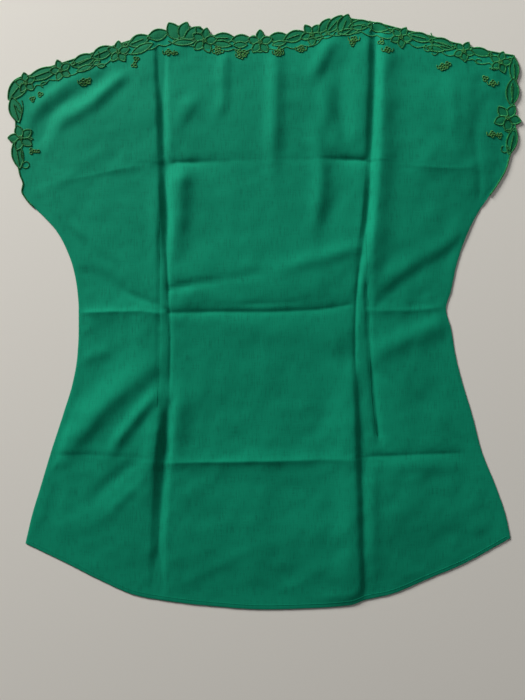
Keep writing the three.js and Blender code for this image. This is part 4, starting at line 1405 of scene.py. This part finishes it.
# %% Flower middles and sprigs
Sprig = namedtuple("Sprig", "x y rings spread turn")
SPRIGS = [Sprig(*row) for row in [
    (-267.4, 245.5, 3, 2.8, 40), (-258.2, 250.7, 3, 2.6, 10), (-268, 185.7, 3, 3.4, 0),
    (-262, 185.5, 2, 2.2, 0), (-208.7, 265, 5, 4.4, 20), (-203, 267, 3, 3, 50),
    (-150, 284.6, 3, 3, 80), (-147.8, 291.6, 3, 3, 20), (-111, 299.6, 4, 3.4, 0),
    (-103.5, 298.4, 2, 2.6, 10), (-53.5, 300, 4, 3.2, 60), (-54, 304.5, 2, 2.4, 0),
    (-27, 295.5, 5, 4.2, 0), (-30, 300, 3, 3.4, 30), (-22, 299, 3, 3, 15),
    (15.5, 297.8, 5, 4, 20), (18, 301.5, 3, 3, 0), (42, 303, 5, 3.6, 10),
    (103, 314, 4, 3.6, 60), (101, 309, 3, 2.8, 30), (134, 310.5, 3, 3, 70),
    (141, 300.7, 4, 3.2, 20), (205, 282, 5, 4.2, 30), (211, 285, 3, 2.8, 0),
    (254, 269, 3, 3, 15), (262.8, 263.4, 4, 3.2, 0), (262.2, 204.7, 4, 3.4, 10),
    (270.8, 203.4, 3, 3, 40),
]]
RING_RADIUS = 1.6
RING_SPREAD = 0.66  # share of a sprig's spread at which its rings lie
TENDRIL = {"from": 2.4, "long": 6.5, "bend": 2.2}
FLOWER_RING = 2.1
KNOT_LIFT = 0.15  # mm
KNOT_SEED = 31
KNOT = {"Spacing": 0.55, "Width": 0.85, "Rise": 0.36, "Thread": 0.27, "Turn": 8, "Wander": 10}


def ring_points(x, y, radius):
    return around(x, y, radius, np.linspace(0, 2 * np.pi, 12, endpoint=False))


def sprig_rings(sprig):
    for i in range(sprig.rings):
        angle = math.radians(sprig.turn) + i * 2 * math.pi / sprig.rings
        far = sprig.spread * RING_SPREAD
        yield ring_points(
            sprig.x + far * math.cos(angle), sprig.y + far * math.sin(angle), RING_RADIUS
        )


def tendrils(sprig):
    """Two short bent stems, one to each side of a sprig."""
    for side in (-1, 1):
        start = (sprig.x + side * TENDRIL["from"], sprig.y - 0.5)
        middle = (sprig.x + side * (TENDRIL["from"] + TENDRIL["long"] / 2), sprig.y - 1.6)
        yield bent([start, middle, (sprig.x + side * TENDRIL["long"], sprig.y + TENDRIL["bend"])])


rings = [(ring, True) for sprig in SPRIGS for ring in sprig_rings(sprig)]
rings += [(line, False) for sprig in SPRIGS if sprig.rings > 3 for line in tendrils(sprig)]
rings += [(ring_points(f.x, f.y, FLOWER_RING), True) for f in FLOWERS]
knots = stitched("gold_knots", on_cloth(rings, KNOT_LIFT), gold_thread, KNOT_SEED, **KNOT)
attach(knots, "root")

# %% [markdown]
# ## Hem and dart stitching
# The hem is turned twice and held by one row of machine stitches. Each waist dart is a
# seam that runs down beside its crease. A machine stitch lies along its line, so the same
# tree makes it with its thread turned by a quarter.

# %% Machine stitches
HEM_ALLOWANCE = 5.0  # mm from the edge to the row of stitches
MACHINE_LIFT = 0.02  # mm
MACHINE_SEED = 51
SEAM_STEP = 1.5  # mm between the points of a seam
MACHINE = {"Spacing": 2.6, "Width": 1.9, "Rise": 0.14, "Thread": 0.2, "Turn": 90, "Wander": 3}
DARTS = [
    [(-121.3, 103.5), (-121.3, 20), (-121.3, -32), (-122.5, -78), (-123.6, -107)],
    [(116.7, 88.5), (116.7, 48), (119, -3.5), (120.2, -43.7), (122.5, -90), (127, -135.7),
     (130.5, -145)],
]


def through(points):
    """A smooth line through points that go down the blouse."""
    rows = sorted(points, key=lambda p: p[1])
    line = line_through([p[1] for p in rows], [p[0] for p in rows])
    y = sampled(rows[0][1], rows[-1][1], SEAM_STEP)
    return np.column_stack([line(y), y])


hem_x = sampled(-270, 278, SEAM_STEP)
hem_row = np.column_stack([hem_x, hem_line(hem_x) + HEM_ALLOWANCE])
machine_runs = [(hem_row, False)] + [(through(dart), False) for dart in DARTS]
machine_row = stitched(
    "machine_stitches", on_cloth(machine_runs, MACHINE_LIFT), green_cloth, MACHINE_SEED, **MACHINE
)
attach(machine_row, "root")

# %% Declare and finish
for piece in (back_cloth, front_cloth):
    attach(piece, "root")
